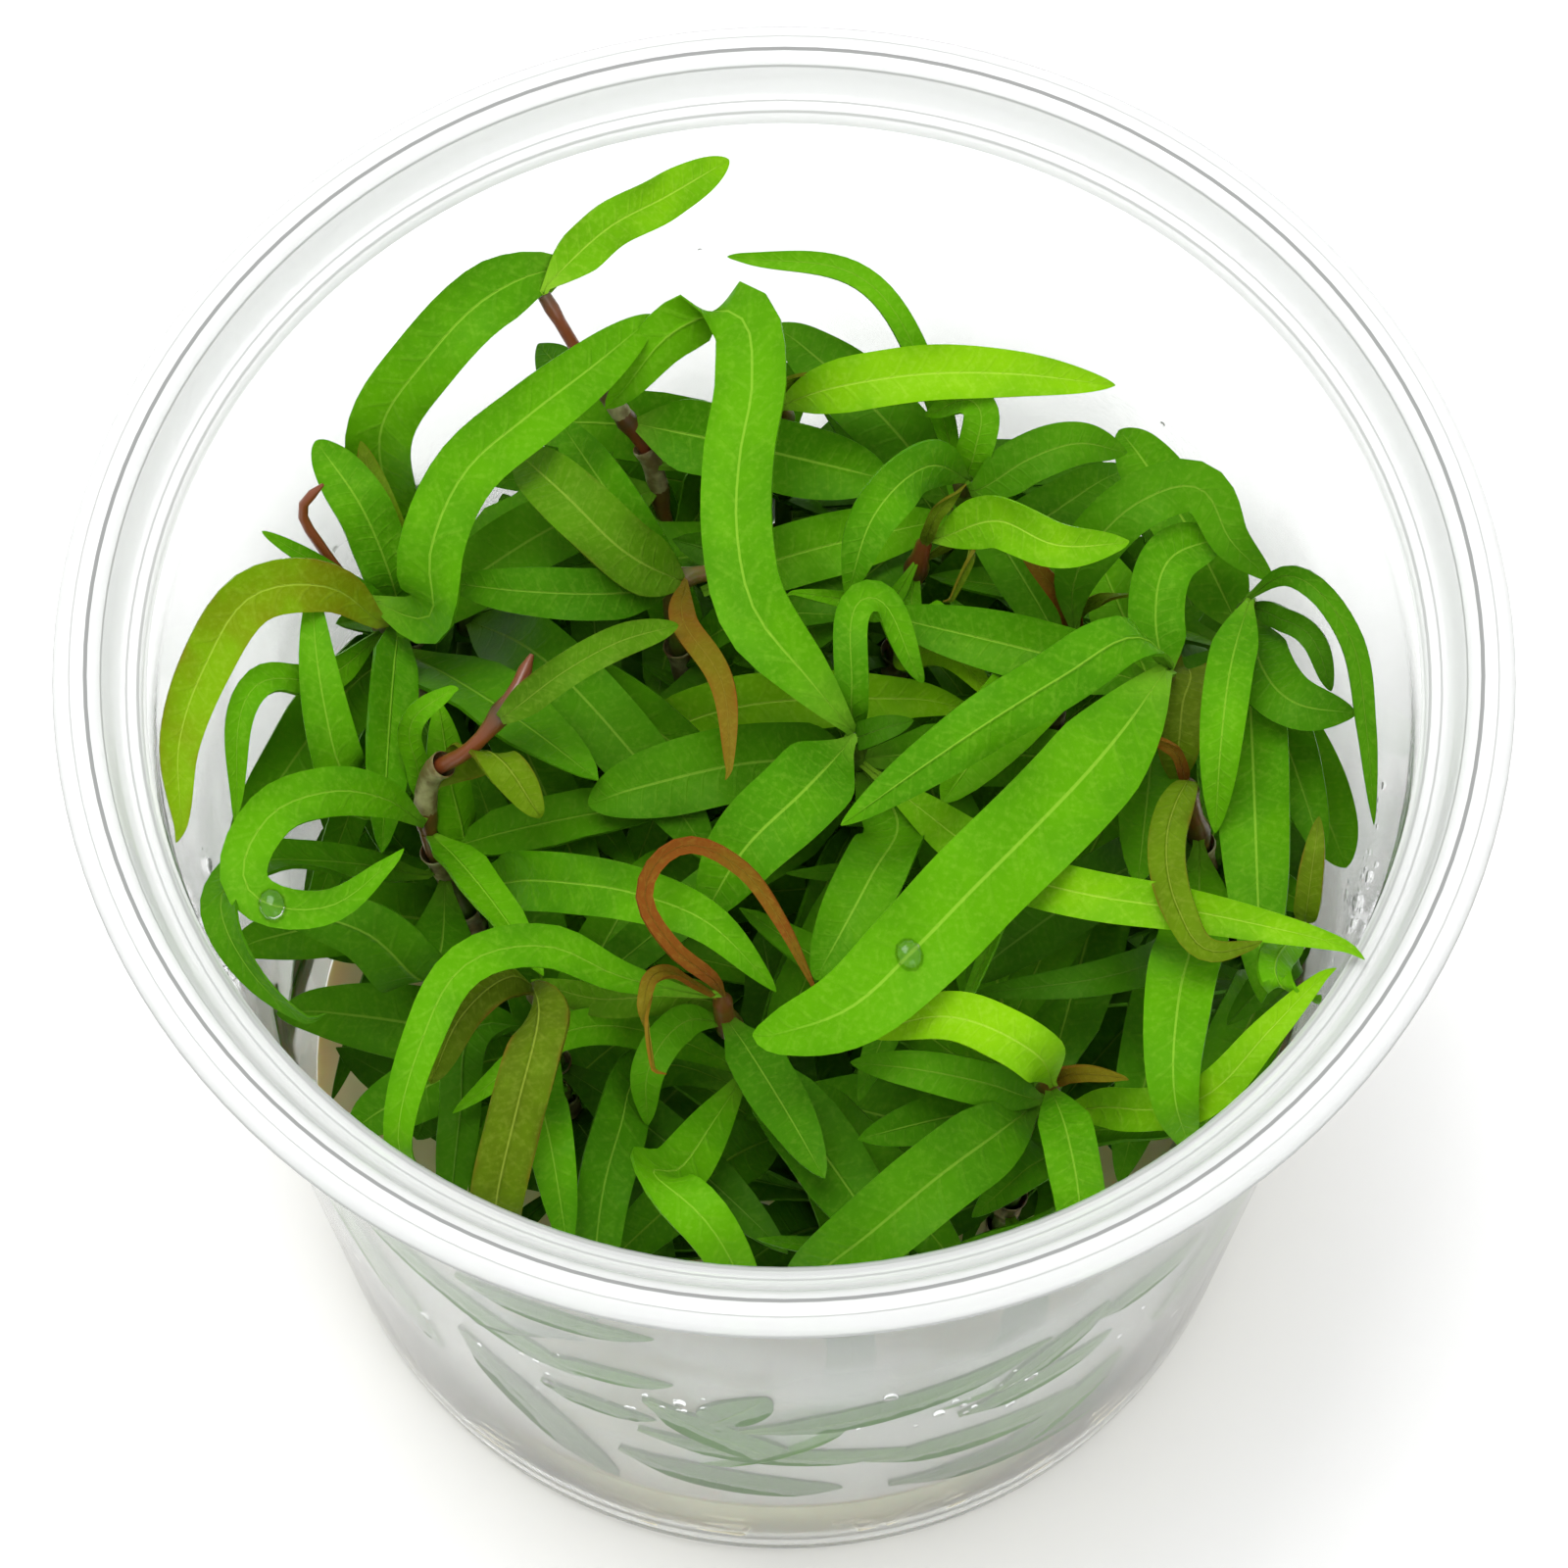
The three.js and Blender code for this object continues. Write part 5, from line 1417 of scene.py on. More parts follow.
@dataclass
class Stems:
    """The stems, each swollen at its joints, and the papery sheaths round them."""

    sides: int = 12
    rows: int = 70
    swelling: float = 0.34
    swelling_reach: float = 1.1
    joint_reach: float = 2.5
    joint_gap: float = 6.0
    top_width: float = 0.35
    top_length: float = 0.5
    blush_from: float = 0.55
    blush_full: float = 0.90
    last_sheath: float = 0.86
    sheath_sides: int = 18
    sheath_length: float = 5.2
    sheath_variety: tuple = (0.6, 1.1)
    sheath_end: float = 0.995
    sheath_gap: float = 0.12
    sheath_wall: float = 0.12
    sheath_widths: tuple = (0.95, 1.1, 1.05, 1.0, 1.05, 1.15, 1.32)
    sheath_teeth: tuple = (-0.30, 0.10)
    tooth_reach: float = 0.2

    def joints(self, spine: Spine, leaves: list[LeafLine]) -> list[float]:
        """Finds where a stem's leaves spring from it.

        Args:
            spine: The stem's route.
            leaves: The leaves.

        Returns:
            The shares of the length, in order and not too close together.
        """
        places, found, joints = spine.places(STEM_PARTS), [], []
        for leaf in leaves:
            gaps = [(place - leaf.points[0]).length for place in places]
            if min(gaps) < self.joint_reach * MM:
                found.append(gaps.index(min(gaps)) / STEM_PARTS)
        for share in sorted(found):
            if not joints or (share - joints[-1]) * spine.length > self.joint_gap * MM:
                joints.append(share)
        return joints

    def build(self, leaves: list[LeafLine], dice: random.Random) -> list[bpy.types.Object]:
        """Builds the stems and their sheaths.

        Args:
            leaves: All leaves, whose bases give the joints.
            dice: A seeded source of numbers.

        Returns:
            The stems, and the sheaths as the last object.
        """
        rod = tube_form("form_rod", self.sides, self.rows)
        collar = self._sheath_form()
        stems, sheaths = [], []
        finish = StemFinish().material("stem")
        for route in STEMS:
            spine = route.spine()
            joints = self.joints(spine, leaves)
            stems.append(self._stem(rod, route, spine, joints))
            stems[-1].data.materials.append(finish)
            for share in (joint for joint in joints if joint < self.last_sheath):
                sheaths.append(self._sheath(collar, route, spine, share, dice))
        discard(rod, collar)
        sheath = join(sheaths, "sheaths")
        sheath.data.materials.append(SheathFinish().material("papery sheath"))
        smooth(sheath)
        return [*stems, sheath]

    def _stem(
        self, rod: bpy.types.Object, route: StemRoute, spine: Spine, joints: list[float]
    ) -> bpy.types.Object:
        """Lays one stem and marks its joints and its young end.

        Args:
            rod: The straight tube.
            route: The stem's route.
            spine: The route's curve.
            joints: Its joints, as shares of the length.

        Returns:
            The stem.
        """
        reach = self.swelling_reach * MM / spine.length

        def near(share: float) -> float:
            """Returns 1 at a joint, falling to 0 away from it."""
            return max((math.exp(-(((share - j) / reach) ** 2)) for j in joints), default=0.0)

        def radius(share: float) -> float:
            """Returns the stem's radius in metres, rounded off at its top."""
            left = (1 - share) * spine.length / MM
            rounded = min(1.0, left / self.top_length + self.top_width)
            return (route.radius(share) * rounded + self.swelling * near(share)) * MM

        piece = lay_tube(rod, spine, radius, f"{route.name}_rod")
        blush = piece.data.attributes.new("blush", "FLOAT", "POINT")
        joint = piece.data.attributes.new("joint", "FLOAT", "POINT")
        for vertex in rod.data.vertices:
            share = (vertex.co.y + 1) / 2
            young = (share - self.blush_from) / (self.blush_full - self.blush_from)
            blush.data[vertex.index].value = route.blush * max(0.0, young)
            joint.data[vertex.index].value = near(share)
        smooth(piece)
        return piece

    def _sheath_form(self) -> bpy.types.Object:
        """Models the sheath once: a ribbed tube that flares and ends in a torn rim.

        Returns:
            The straight sheath.
        """
        rows, widest, reach = len(self.sheath_widths) - 1, self.sheath_widths[-1], self.tooth_reach
        form = tube_form("form_sheath", self.sheath_sides, rows, hollow=True)
        activate(form)
        start_shaping()
        for row, width in enumerate(self.sheath_widths):
            select_where(lambda p, down=2 * row / rows - 1: abs(p.y - down) < SAME_ROW)
            bpy.ops.transform.resize(value=(width, 1, width))
        teeth = dice_for("teeth")
        for side in range(self.sheath_sides):
            angle = math.tau * side / self.sheath_sides
            corner = Vector((math.cos(angle) * widest, 1.0, math.sin(angle) * widest))
            select_where(lambda p, corner=corner: (p - corner).length < reach)
            bpy.ops.transform.translate(value=(0, teeth.uniform(*self.sheath_teeth), 0))
        apply_modifier(form, "SOLIDIFY", thickness=self.sheath_wall, offset=1.0)
        return form

    def _sheath(
        self,
        form: bpy.types.Object,
        route: StemRoute,
        spine: Spine,
        share: float,
        dice: random.Random,
    ) -> bpy.types.Object:
        """Lays one sheath from a joint upwards.

        Args:
            form: The straight sheath.
            route: The stem's route.
            spine: The route's curve.
            share: The joint, as a share of the length.
            dice: A seeded source of numbers.

        Returns:
            The sheath.
        """
        length = self.sheath_length * dice.uniform(*self.sheath_variety) * MM / spine.length
        end = min(share + length, self.sheath_end)
        span = [spine.at(share + (end - share) * i / 6) for i in range(7)]
        short = Spine([place[0] for place in span], [place[1] for place in span], stations=24)
        size = (route.radius(share) + self.sheath_gap) * MM
        return lay_tube(form, short, lambda _: size, f"sheath_{route.name}")


# Leaves


class LeafPlan:
    """Says which finish and outline each leaf has.

    NAMED is for leaves with a node of their own. BY_TIP is for those grown from a stem, which
    are known by where their tip is, in millimetres. The others go by their height.
    """

    NAMED = {
        "leaf_front_large": (Leafage.BRIGHT, Outline.BROAD),
        "leaf_long_diagonal": (Leafage.BRIGHT, Outline.LANCE),
        "leaf_orange_curl": (Leafage.RED, Outline.RIBBON),
        "leaf_centre_arch": (Leafage.BRIGHT, Outline.STRAP),
        "leaf_left_diagonal": (Leafage.BRIGHT, Outline.STRAP),
        "leaf_twisted_front": (Leafage.OLIVE, Outline.STRAP),
        "leaf_olive_red": (Leafage.OLIVE, Outline.LANCE),
        "leaf_left_yellow": (Leafage.TURNING, Outline.LANCE),
        "leaf_back_tip": (Leafage.LIME, Outline.STRAP),
        "leaf_back_droop": (Leafage.BRIGHT, Outline.STRAP),
        "leaf_red_hanging": (Leafage.RED, Outline.LANCE),
        "leaf_olive_broad": (Leafage.MOSS, Outline.BROAD),
        "leaf_yellow_green": (Leafage.MOSS, Outline.STRAP),
        "leaf_olive_right": (Leafage.OLIVE, Outline.LANCE),
    }
    BY_TIP = {
        Leafage.RED: (
            (-8, -29.7, 80.5), (23.6, -4.4, 80.9), (16.5, 11.1, 79.2), (23.6, -28.7, 76.9),
        ),
        Leafage.OLIVE: (
            (4.6, 24, 81.7), (12.8, 14.5, 82.4), (11.2, 7.9, 77), (-30.3, 20.7, 77.3),
            (36.6, -12.3, 84.4), (26.2, 9.5, 74.8), (-17, -8.4, 76), (-24, -29.2, 77.4),
            (-33.3, -29.5, 80),
        ),
        Leafage.BRIGHT: (
            (11.3, -27.1, 79.8), (-24.5, 1.6, 74), (-22.7, -30.2, 74.6), (21.2, -40.5, 69),
            (2.2, -20.1, 74.3), (5.1, -31.4, 58), (-7.4, -37, 24.3), (8.1, -38.1, 36.4),
        ),
        Leafage.LIME: ((-28.3, 6.4, 65.8), (15.2, 2.5, 71)),
        Leafage.DARK: (
            (9, -2.6, 79.4), (38.3, 0.4, 78), (30.9, -21.7, 70.1), (12.9, -20.6, 73),
            (-23.5, -36.5, 67.9),
        ),
    }
    NEAR = 3.0 * MM
    # heights of the painted light and shade: the bright green above the first, the middle one above
    # the second, the dark one below
    HIGH = 73.5 * MM
    LOW = 58.0 * MM
    LUCK = 6.0 * MM

    @classmethod
    def of_named(cls, node: str) -> tuple[Leafage, Outline]:
        """Chooses for a leaf with a node of its own.

        Args:
            node: The node's name.

        Returns:
            Its finish and outline.
        """
        if node in cls.NAMED:
            return cls.NAMED[node]
        slots = {part["node"]: part["material_slot"] for part in frame["record"]["subparts"]}
        tones = (tone for tone in Leafage if tone.value.slot == slots.get(node))
        return next(tones, Leafage.GREEN), Outline.LANCE

    @classmethod
    def of_grown(cls, line: LeafLine) -> Leafage:
        """Chooses for a leaf that is one with its stem.

        Args:
            line: The leaf's line.

        Returns:
            Its finish.
        """
        for tone, tips in cls.BY_TIP.items():
            if any((Vector(tip) * MM - line.points[-1]).length < cls.NEAR for tip in tips):
                return tone
        return cls.shade_by_height(line)

    @classmethod
    def by_luck(cls, line: LeafLine, dice: random.Random) -> Leafage:
        """Returns the finish of a leaf's height, taken a little higher or lower by chance."""
        return cls.shade_by_height(line, dice.gauss(0, cls.LUCK))

    @classmethod
    def shade_by_height(cls, line: LeafLine, luck: float = 0.0) -> Leafage:
        """Chooses a brighter finish the higher a leaf is: painted light above and painted shade in
        the depth.

        Args:
            line: The leaf's line.
            luck: How much higher or lower it is taken to be, in metres.

        Returns:
            Its finish.
        """
        height = line.points[len(line.points) // 2].z + luck
        if height > cls.HIGH:
            return Leafage.BRIGHT
        return Leafage.GREEN if height > cls.LOW else Leafage.DARK


@dataclass
class Foliage:
    """All the leaves: those with a node of their own, and those grown from the stems."""

    reader: LeafReader = field(default_factory=LeafReader)
    root_reach: tuple = (0.4 * MM, 4.0 * MM)

    def read(self) -> list[LeafLine]:
        """Reads the leaves of every node but the cup and the gel."""
        nodes = sorted(name for name in frame["nodes"] if name.startswith(("leaf_", "stem_")))
        return [line for node in nodes for line in self.reader.read(node)]

    def build(self, lines: list[LeafLine]) -> list[Laid]:
        """Lays every leaf of the solids.

        Args:
            lines: The leaves' lines.

        Returns:
            For each piece, the object, its slot and the nodes that it stands for.
        """
        dice = dice_for("leaves")
        forms = {outline: Blade(outline).build() for outline in Outline}
        feet = [place for route in STEMS for place in route.spine().places(STEM_PARTS)]
        built, grown = [], {}
        for number, line in enumerate(lines):
            pose = Pose.drawn(dice)
            if line.node.startswith("leaf_"):
                tone, outline = LeafPlan.of_named(line.node)
                self._root(line, feet)
                piece = lay_blade(forms[outline], line, pose, f"{line.node}_blade")
                built.append((piece, tone.value.slot, [line.node]))
            else:
                tone = LeafPlan.of_grown(line)
                outline = dice.choice((Outline.LANCE, Outline.LANCE, Outline.STRAP))
                piece = lay_blade(forms[outline], line, pose, f"grown_{number}")
                grown.setdefault(tone, []).append(piece)
            piece.data.materials.append(tone.material)
        discard(*forms.values())
        return built + self._joined(grown, "grown")

    def fill(
        self, leaves: list[tuple[LeafLine, Leafage]], name: str, dice: random.Random
    ) -> list[Laid]:
        """Lays the leaves that only the dressed part has, with fewer faces each.

        Args:
            leaves: Each leaf's line and tone.
            name: How the pieces' names start.
            dice: A seeded source of numbers.

        Returns:
            For each tone, the joined object, its slot and no nodes.
        """
        form = Blade(Outline.LANCE, columns=(0.12, 1.0), rows=10).build()
        laid = {}
        for number, (line, tone) in enumerate(leaves):
            pose = Pose.drawn(dice)
            pose = pose.flat() if line.node == "pressed" else pose
            piece = lay_blade(form, line, pose, f"{name}_{number}")
            piece.data.materials.append(tone.material)
            laid.setdefault(tone, []).append(piece)
        discard(form)
        return self._joined(laid, name)

    def _root(self, line: LeafLine, feet: list[Vector]) -> None:
        """Draws a leaf's base on to the middle of the stem that it springs from.

        Args:
            line: The leaf's line, which gets one more point.
            feet: Places along the middles of all stems.
        """
        base = line.points[0]
        nearest = min(feet, key=lambda place: (place - base).length)
        least, most = self.root_reach
        if least < (nearest - base).length < most:
            line.points.insert(0, nearest)
            line.sides.insert(0, line.sides[0].copy())

    @staticmethod
    def _joined(laid: dict[Leafage, list[bpy.types.Object]], name: str) -> list[Laid]:
        """Joins leaves of the same tone.

        Args:
            laid: The leaves by tone.
            name: How the joined pieces' names start.

        Returns:
            For each tone, the joined object, its slot and no nodes.
        """
        slots = {tone: tone.value.slot for tone in laid}
        return [(join(laid[tone], f"{name}_{slot}"), slot, []) for tone, slot in slots.items()]


@dataclass
class Undergrowth:
    """The leaves below the crown, which spring from lower joints and fill the depth of the cup.

    The tuft leans on the front of the cup: its middle lies further forward the higher it is.
    Sizes are in millimetres, and angles in degrees. The room is counted in small cubes.
    """

    cup: CultureCup
    lowest: float = 16.0
    highest: float = 73.0
    joint_step: float = 2.7
    joint_reach: float = 2.0
    tries: int = 14
    pitch: tuple = (12, 78)
    length: tuple = (15.0, 30.0)
    width: tuple = (3.0, 6.0)
    bend: tuple = (0.1, 0.8)
    roll: float = 0.7
    drift: float = 0.35
    sag: float = 0.65
    wall_gap: float = 0.8
    overshoot: float = 5.0
    slack: float = 0.01
    floor: float = 13.5
    ceiling: float = 77.0
    cup_height: float = 86.0
    tuft_radius: float = 39.0
    tuft_forward: float = 12.9
    tuft_lean: float = 0.473
    stations: int = 22
    cell: float = 1.45
    most_shared: int = 2
    taken: set = field(default_factory=set)

    def cells(self, line: LeafLine, start: float) -> set[tuple[int, int, int]]:
        """Finds the small cubes that a blade passes through.

        Args:
            line: The leaf's line.
            start: The share of its length from which cubes count.

        Returns:
            The cubes' numbers.
        """
        spine = Spine(line.points, line.sides, steps=8, stations=self.stations)
        found = set()
        for station in range(int(start * self.stations), self.stations + 1):
            middle, side, _ = spine.at(station / self.stations)
            wide = line.half_width * math.sin(math.pi * (0.08 + 0.86 * station / self.stations))
            for part in (-1.0, -0.5, 0.0, 0.5, 1.0):
                place = (middle + side * wide * part) / (self.cell * MM)
                found.add((round(place.x), round(place.y), round(place.z)))
        return found

    def block(self, lines: list[LeafLine]) -> None:
        """Marks the room that leaves take."""
        for line in lines:
            self.taken |= self.cells(line, 0.1)

    def grow(self, dice: random.Random) -> list[LeafLine]:
        """Grows the leaves.

        Args:
            dice: A seeded source of numbers.

        Returns:
            The lines of those that found room.
        """
        lines = []
        joints = int((self.highest - self.lowest) / self.joint_step)
        spots = {route.name: route.spine().places(60) for route in STEMS}
        for number in range(joints - 1, -1, -1):
            height = (self.lowest + number * self.joint_step) * MM
            for places in spots.values():
                root = min(places, key=lambda place: abs(place.z - height))
                near = abs(root.z - height) <= self.joint_reach * MM
                line = self._leaf(root, dice) if near else None
                if line:
                    lines.append(line)
                    self.block([line])
        return lines

    def _leaf(self, root: Vector, dice: random.Random) -> LeafLine | None:
        """Tries some turns for a leaf at a joint.

        Args:
            root: The joint's place.
            dice: A seeded source of numbers.

        Returns:
            The first leaf that has room, if any has.
        """
        for _ in range(self.tries):
            turn, pitch = dice.uniform(0, math.tau), math.radians(dice.uniform(*self.pitch))
            length, bend = dice.uniform(*self.length) * MM, dice.uniform(*self.bend)
            half = dice.uniform(*self.width) / 2 * MM
            roll = dice.uniform(-self.roll, self.roll)
            out = Vector((math.cos(turn), math.sin(turn), 0))
            start = out * math.cos(pitch) + UP * math.sin(pitch)
            fall = out * self.drift - UP * self.sag
            points = [root + (start * t + fall * bend * t * t) * length for t in (0, 0.3, 0.65, 1)]
            points = [self._hold(point) for point in points]
            if not all(self._is_inside(point) for point in points):
                continue
            side = Vector((-out.y, out.x, 0)) * math.cos(roll) + UP * math.sin(roll)
            line = LeafLine("undergrowth", points, [side] * len(points), half)
            if len(self.cells(line, 0.25) & self.taken) <= self.most_shared:
                return line
        return None

    def _hold(self, point: Vector) -> Vector:
        """Brings a point that is just outside the cup back to its wall.

        Args:
            point: The point.

        Returns:
            The point, or the place on the wall.
        """
        room = (self.cup.inner_radius(point.z / MM) - self.wall_gap) * MM
        reach = math.hypot(point.x, point.y)
        if room < reach < room + self.overshoot * MM:
            return Vector((point.x * room / reach, point.y * room / reach, point.z))
        return point

    def _is_inside(self, point: Vector) -> bool:
        """Tests a point.

        Args:
            point: The point.

        Returns:
            Whether it is in the cup, above the gel and within the tuft.
        """
        x, y, z = point / MM
        if not self.floor < z < self.ceiling:
            return False
        if math.hypot(x, y) > self.cup.inner_radius(z) - self.wall_gap + self.slack:
            return False
        middle = -self.tuft_forward + self.tuft_lean * (self.cup_height - z)
        return math.hypot(x, y - middle) < self.tuft_radius


@dataclass(frozen=True)
class Pressed:
    """A leaf pressed to the cup's wall: its middle's angle and height, its slope, size and tone."""

    angle: float
    height: float
    slope: float
    length: float
    width: float
    tone: Leafage = Leafage.GREEN


@dataclass
class PressedLeaves:
    """The leaves that touch the fogged wall and show through it."""

    cup: CultureCup
    wall_gap: float = 0.23
    curl: float = 0.12
    lowest: float = 14.5
    front: tuple = (
        Pressed(-129, 51, -28, 15, 3.4), Pressed(-121, 48, -32, 17, 3.8),
        Pressed(-113, 58, 14, 16, 3.2), Pressed(-96, 35, -52, 19, 4.6),
        Pressed(-91, 30.5, -14, 21, 3.6), Pressed(-95, 43, 62, 10, 4.4),
        Pressed(-78, 42, 22, 25, 4.2), Pressed(-61, 43, 50, 13, 3.4),
        Pressed(-62, 36, 12, 13, 3.6), Pressed(-57, 21, 48, 16, 4.4),
        Pressed(-68, 26, -9, 18, 4.6), Pressed(-49, 45, -4, 11, 3.4),
        Pressed(-118, 27, -66, 27, 5.0, Leafage.DARK), Pressed(-96, 22, -20, 18, 4.8, Leafage.DARK),
        Pressed(-60, 16.5, -8, 24, 4.2, Leafage.DARK), Pressed(-108, 47, 12, 10, 2.8),
        Pressed(-110, 37, -5, 9, 2.6), Pressed(-138, 38, -70, 26, 5.0),
        Pressed(-36, 38, 62, 24, 4.6),
    )
    others: int = 24
    other_from: float = -25.0
    other_span: float = 230.0

    def lines(self, dice: random.Random) -> list[tuple[LeafLine, Leafage]]:
        """Lays the leaves' lines on the wall.

        Args:
            dice: A seeded source of numbers, for the leaves on the sides and the back.

        Returns:
            Each line with its tone.
        """
        leaves = list(self.front)
        for number in range(self.others):
            angle = self.other_from + number * self.other_span / self.others + dice.uniform(-4, 4)
            height, slope = dice.uniform(20, 40), dice.choice((-1, 1)) * dice.uniform(15, 65)
            size = dice.uniform(14, 22), dice.uniform(3.4, 5.2)
            tone = dice.choice((Leafage.GREEN, Leafage.DARK))
            leaves.append(Pressed(angle, height, slope, *size, tone))
        return [(self._line(leaf), leaf.tone) for leaf in leaves]

    def _line(self, leaf: Pressed) -> LeafLine:
        """Lays one line, whose ends curl away from the wall.

        Args:
            leaf: The leaf.

        Returns:
            Its line.
        """
        slope, points, sides = math.radians(leaf.slope), [], []
        for share in (-0.5, -0.28, 0.0, 0.28, 0.5):
            step = share * leaf.length
            height = max(leaf.height + step * math.sin(slope), self.lowest)
            radius = self.cup.inner_radius(height)
            angle = math.radians(leaf.angle) + step * math.cos(slope) / radius
            radius -= self.wall_gap + self.curl * (2 * share) ** 4
            out = Vector((math.cos(angle), math.sin(angle), 0))
            along = Vector((-out.y, out.x, 0)) * math.cos(slope) + UP * math.sin(slope)
            points.append(Vector((out.x * radius, out.y * radius, height)) * MM)
            sides.append(along.cross(out))
        return LeafLine("pressed", points, sides, leaf.width / 2 * MM)


# Roots and condensation


@dataclass
class Roots:
    """Pale roots that run from the stems' feet through the gel and along the cup's wall."""

    cup: CultureCup
    a_stem: int = 5
    radius: float = 0.32
    wall_gap: float = 0.06
    gel_gap: float = 0.52
    spread: float = 0.5
    run: tuple = (0.12, 0.45)
    thickness: tuple = (0.7, 1.15)
    sides: int = 6
    rows: int = 16
    bend_height: tuple = (3.5, 6.5)
    rise: tuple = (-1.0, 4.5)
    band: tuple = (3.2, 10.5)

    def build(self, dice: random.Random) -> bpy.types.Object:
        """Lays the roots and joins them.

        Args:
            dice: A seeded source of numbers.

        Returns:
            The joined roots.
        """
        rod = tube_form("form_root", self.sides, self.rows)
        feet = [route.points[0] for route in STEMS for _ in range(self.a_stem)]
        roots = join([self._strand(rod, foot, dice) for foot in feet], "roots")
        discard(rod)
        roots.data.materials.append(RootFinish().material("root"))
        smooth(roots)
        return roots

    def _strand(self, rod: bpy.types.Object, foot: tuple, dice: random.Random) -> bpy.types.Object:
        """Lays one root from a stem's foot to the wall and a little along it.

        Args:
            rod: The straight tube.
            foot: The stem's foot.
            dice: A seeded source of numbers.

        Returns:
            The root.
        """
        x, y, z = foot
        turn = math.atan2(y, x) + dice.uniform(-self.spread, self.spread)
        run = dice.choice((-1, 1)) * dice.uniform(*self.run)
        low = dice.uniform(*self.bend_height)
        reach = self.cup.inner_radius(low) - self.gel_gap - self.radius
        middle = (x + reach * math.cos(turn)) / 2, (y + reach * math.sin(turn)) / 2
        points = [Vector((x, y, z + 4)), Vector((x, y, z + 1)), Vector((*middle, low + 1))]
        for step in (0.0, 0.35, 0.7, 1.0):
            height = low + step * dice.uniform(*self.rise)
            height = min(max(height, self.band[0]), self.band[1])
            reach = self.cup.inner_radius(height) - self.wall_gap - self.radius
            angle = turn + run * step
            points.append(Vector((reach * math.cos(angle), reach * math.sin(angle), height)))
        spine = Spine([point * MM for point in points], [UP] * len(points), steps=6, stations=40)
        thick = self.radius * dice.uniform(*self.thickness)
        return lay_tube(rod, spine, lambda share: thick * (1 - 0.5 * share) * MM, "root")


@dataclass(frozen=True)
class Patch:
    """A patch of drops on the wall: its angle and height, its half size, and how many drops."""

    angle: float
    height: float
    wide: float
    tall: float
    drops: int


@dataclass
class Condensation:
    """Drops of water on the inside of the wall and on two leaves."""

    cup: CultureCup
    patches: tuple = (
        Patch(-166, 56, 7, 9, 50), Patch(-9, 60, 5, 9, 45), Patch(-108, 42, 9, 7, 22),
        Patch(-70, 38, 10, 8, 22), Patch(-140, 34, 8, 9, 14), Patch(-40, 32, 8, 8, 14),
        Patch(100, 50, 30, 12, 40),
    )
    flatness: float = 0.45
    sunk: float = 0.25
    tallness: tuple = (0.8, 1.5)
    fine_share: float = 0.8
    fine: tuple = (0.12, 0.30)
    coarse: tuple = (0.35, 0.65)
    on_leaves: tuple = ("leaf_curled_left", "leaf_front_large")
    leaf_share: float = 0.72
    leaf_size: float = 0.95
    leaf_gap: float = 0.35
    leaf_tall: float = 1.2

    def build(self, lines: list[LeafLine], dice: random.Random) -> bpy.types.Object:
        """Sets the drops and joins them.

        Args:
            lines: The leaves, for the drops that lie on two of them.
            dice: A seeded source of numbers.

        Returns:
            The joined drops.
        """
        deselect()
        bpy.ops.mesh.primitive_uv_sphere_add(
            segments=10, ring_count=6, radius=1, location=(0, 0, 0)
        )
        bead = start_shaping()
        bpy.ops.transform.resize(value=(1, 1, self.flatness))
        deselect()
        drops = []
        for patch in self.patches:
            for _ in range(patch.drops):
                height = patch.height + dice.gauss(0, patch.tall / 2)
                radius = self.cup.inner_radius(height)
                angle = math.radians(patch.angle) + dice.gauss(0, patch.wide / 2) / radius
                out = Vector((math.cos(angle), math.sin(angle), 0))
                kind = self.fine if dice.random() < self.fine_share else self.coarse
                size = dice.uniform(*kind)
                place = Vector((out.x * radius, out.y * radius, height)) - out * size * self.sunk
                tall = dice.uniform(*self.tallness)
                drops.append(self._drop(bead, place * MM, -out, size * MM, tall))
        for line in (line for line in lines if line.node in self.on_leaves):
            middle, _, face = Spine(line.points, line.sides).at(self.leaf_share)
            place = middle + face * self.leaf_gap * MM
            drops.append(self._drop(bead, place, face, self.leaf_size * MM, self.leaf_tall))
        discard(bead)
        water = join(drops, "condensation_drops")
        water.data.materials.append(DropFinish().material("condensation"))
        smooth(water, 80)
        return water

    def _drop(
        self, bead: bpy.types.Object, place: Vector, face: Vector, size: float, tall: float
    ) -> bpy.types.Object:
        """Sets one drop, flat side to the surface.

        Args:
            bead: The drop's form.
            place: Where it stands.
            face: The direction that its top points in.
            size: Its radius in metres.
            tall: How much taller than wide it is.

        Returns:
            The drop.
        """
        piece = copy_of(bead, "drop")
        turn = face.to_track_quat("Z", "Y")
        for vertex in piece.data.vertices:
            x, y, z = vertex.co
            vertex.co = place + turn @ (Vector((x, y * tall, z)) * size)
        return piece


# Setting


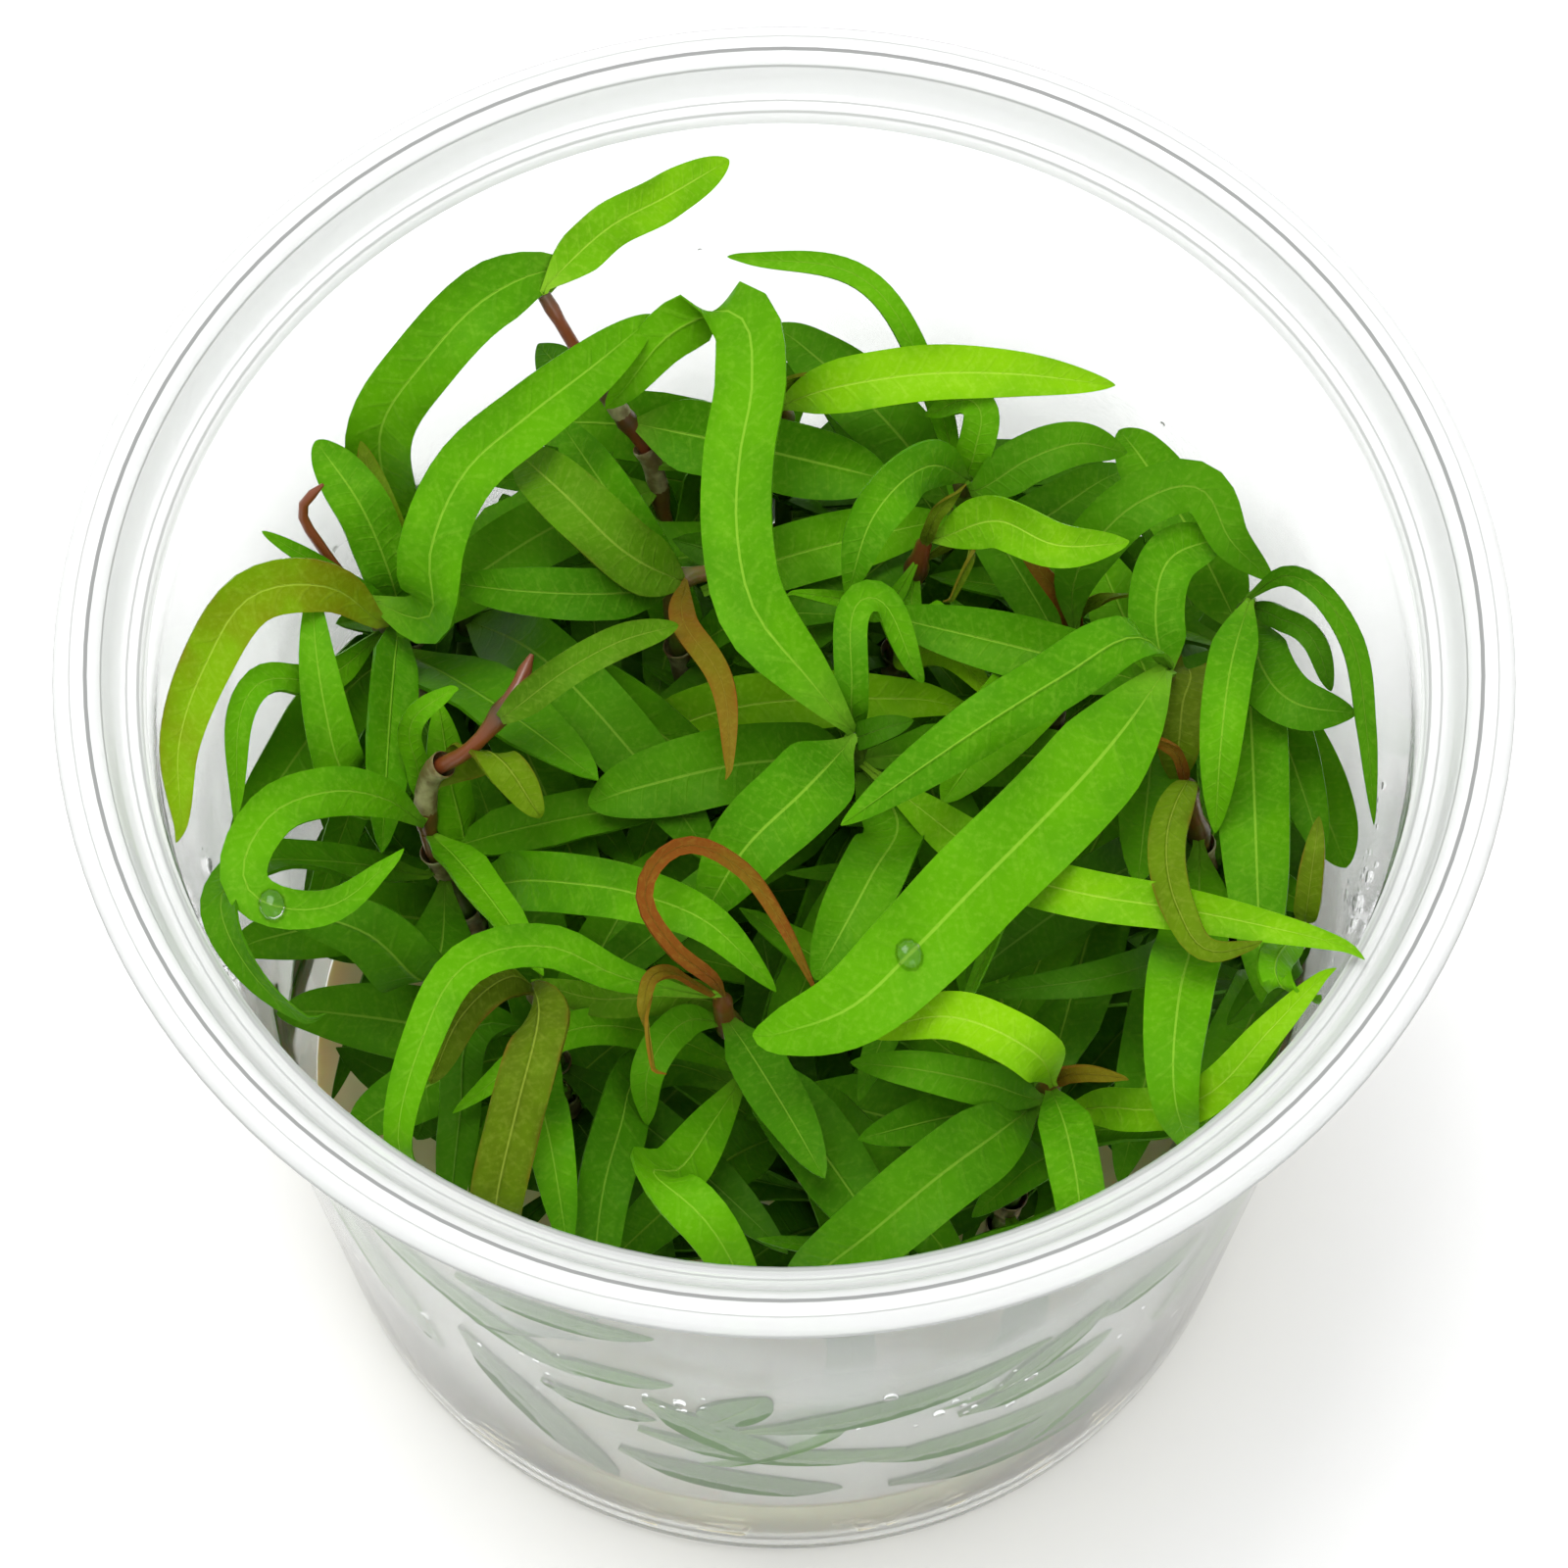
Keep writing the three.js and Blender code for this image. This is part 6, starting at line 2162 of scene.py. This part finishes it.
@dataclass
class Studio:
    """The pale floor, the soft light and the camera."""

    target: tuple = (0.0, -0.01061, 0.086)
    elevation: float = 64.66
    distance: float = 0.4344
    lens: float = 146.25
    sensor: float = 36.0
    floor_size: float = 3.0
    floor_gap: float = 0.0002
    lamp_aim: tuple = (0, 0, 0.06)

    def build(self) -> None:
        """Builds the floor, the lights and the camera."""
        self._floor()
        self._world()
        self._lamp("lamp_over", (-0.12, 0.06, 0.80), 0.40, 4.0)
        self._lamp("lamp_front", (0.30, -0.60, 0.60), 0.45, 1.4)
        self._camera()
        bpy.context.scene.view_settings.view_transform = "Standard"

    def _floor(self) -> None:
        """Lays the floor."""
        deselect()
        bpy.ops.mesh.primitive_plane_add(size=self.floor_size, location=(0, 0, -self.floor_gap))
        floor = bpy.context.active_object
        floor.name = "floor"
        bpy.ops.object.transform_apply(location=True, rotation=True, scale=True)
        floor.data.materials.append(FloorFinish().material("floor"))

    def _world(self) -> None:
        """Lights the scene softly from all round."""
        world = bpy.data.worlds.new("studio")
        world.use_nodes = True
        light = world.node_tree.nodes["Background"]
        Wiring(world.node_tree).put(light, {"Color": (1.0, 1.0, 1.0), "Strength": 1.0})
        bpy.context.scene.world = world

    def _lamp(self, name: str, place: tuple, size: float, watts: float) -> None:
        """Hangs a soft square lamp that faces the cup.

        Args:
            name: Its name.
            place: Where it hangs.
            size: Its side in metres.
            watts: Its power.
        """
        data = bpy.data.lights.new(name, "AREA")
        data.size = size
        data.energy = watts
        lamp = bpy.data.objects.new(name, data)
        lamp.location = place
        aim = Vector(self.lamp_aim) - Vector(place)
        lamp.rotation_euler = aim.to_track_quat("-Z", "Y").to_euler()
        bpy.context.scene.collection.objects.link(lamp)

    def _camera(self) -> None:
        """Sets the camera where the photograph was taken from."""
        data = bpy.data.cameras.new("camera")
        data.lens = self.lens
        data.sensor_width = self.sensor
        camera = bpy.data.objects.new("camera", data)
        tilt = math.radians(self.elevation)
        back = Vector((0, -math.cos(tilt), math.sin(tilt))) * self.distance
        camera.location = Vector(self.target) + back
        camera.rotation_euler = (math.radians(90) - tilt, 0, 0)
        bpy.context.scene.collection.objects.link(camera)
        bpy.context.scene.camera = camera


def main() -> None:
    """Builds the setting, the cup, the gel, the leaves, the stems, the roots and the drops."""
    logging.basicConfig(level=logging.INFO, format="%(message)s")
    Studio().build()

    culture_cup = CultureCup()
    cup = culture_cup.build()
    culture_cup.dress(cup)
    settle(cup, "cup", "cup")
    settle(MistLayer(culture_cup).build(), "cup")
    settle(Gel().build(), "gel", "gel")

    foliage = Foliage()
    lines = foliage.read()
    LOG.info("%d leaves in the solids", len(lines))
    pieces = foliage.build(lines)
    dice = dice_for("filling")
    pressed = PressedLeaves(culture_cup).lines(dice)
    undergrowth = Undergrowth(culture_cup)
    undergrowth.block([*lines, *(line for line, _ in pressed)])
    low = [(line, LeafPlan.by_luck(line, dice)) for line in undergrowth.grow(dice)]
    LOG.info("%d leaves below the crown", len(low))
    pieces += foliage.fill(low, "undergrowth", dice)
    pieces += foliage.fill(pressed, "pressed", dice)
    for piece, slot, nodes in pieces:
        settle(piece, slot, *nodes)

    *stems, sheaths = Stems().build(lines, dice_for("stems"))
    for route, stem in zip(STEMS, stems):
        settle(stem, "stem", route.name)
    settle(sheaths, "stem")
    settle(Roots(culture_cup).build(dice_for("roots")), "stem")
    settle(Condensation(culture_cup).build(lines, dice_for("drops")), "cup")


if __name__ == "__main__":
    main()
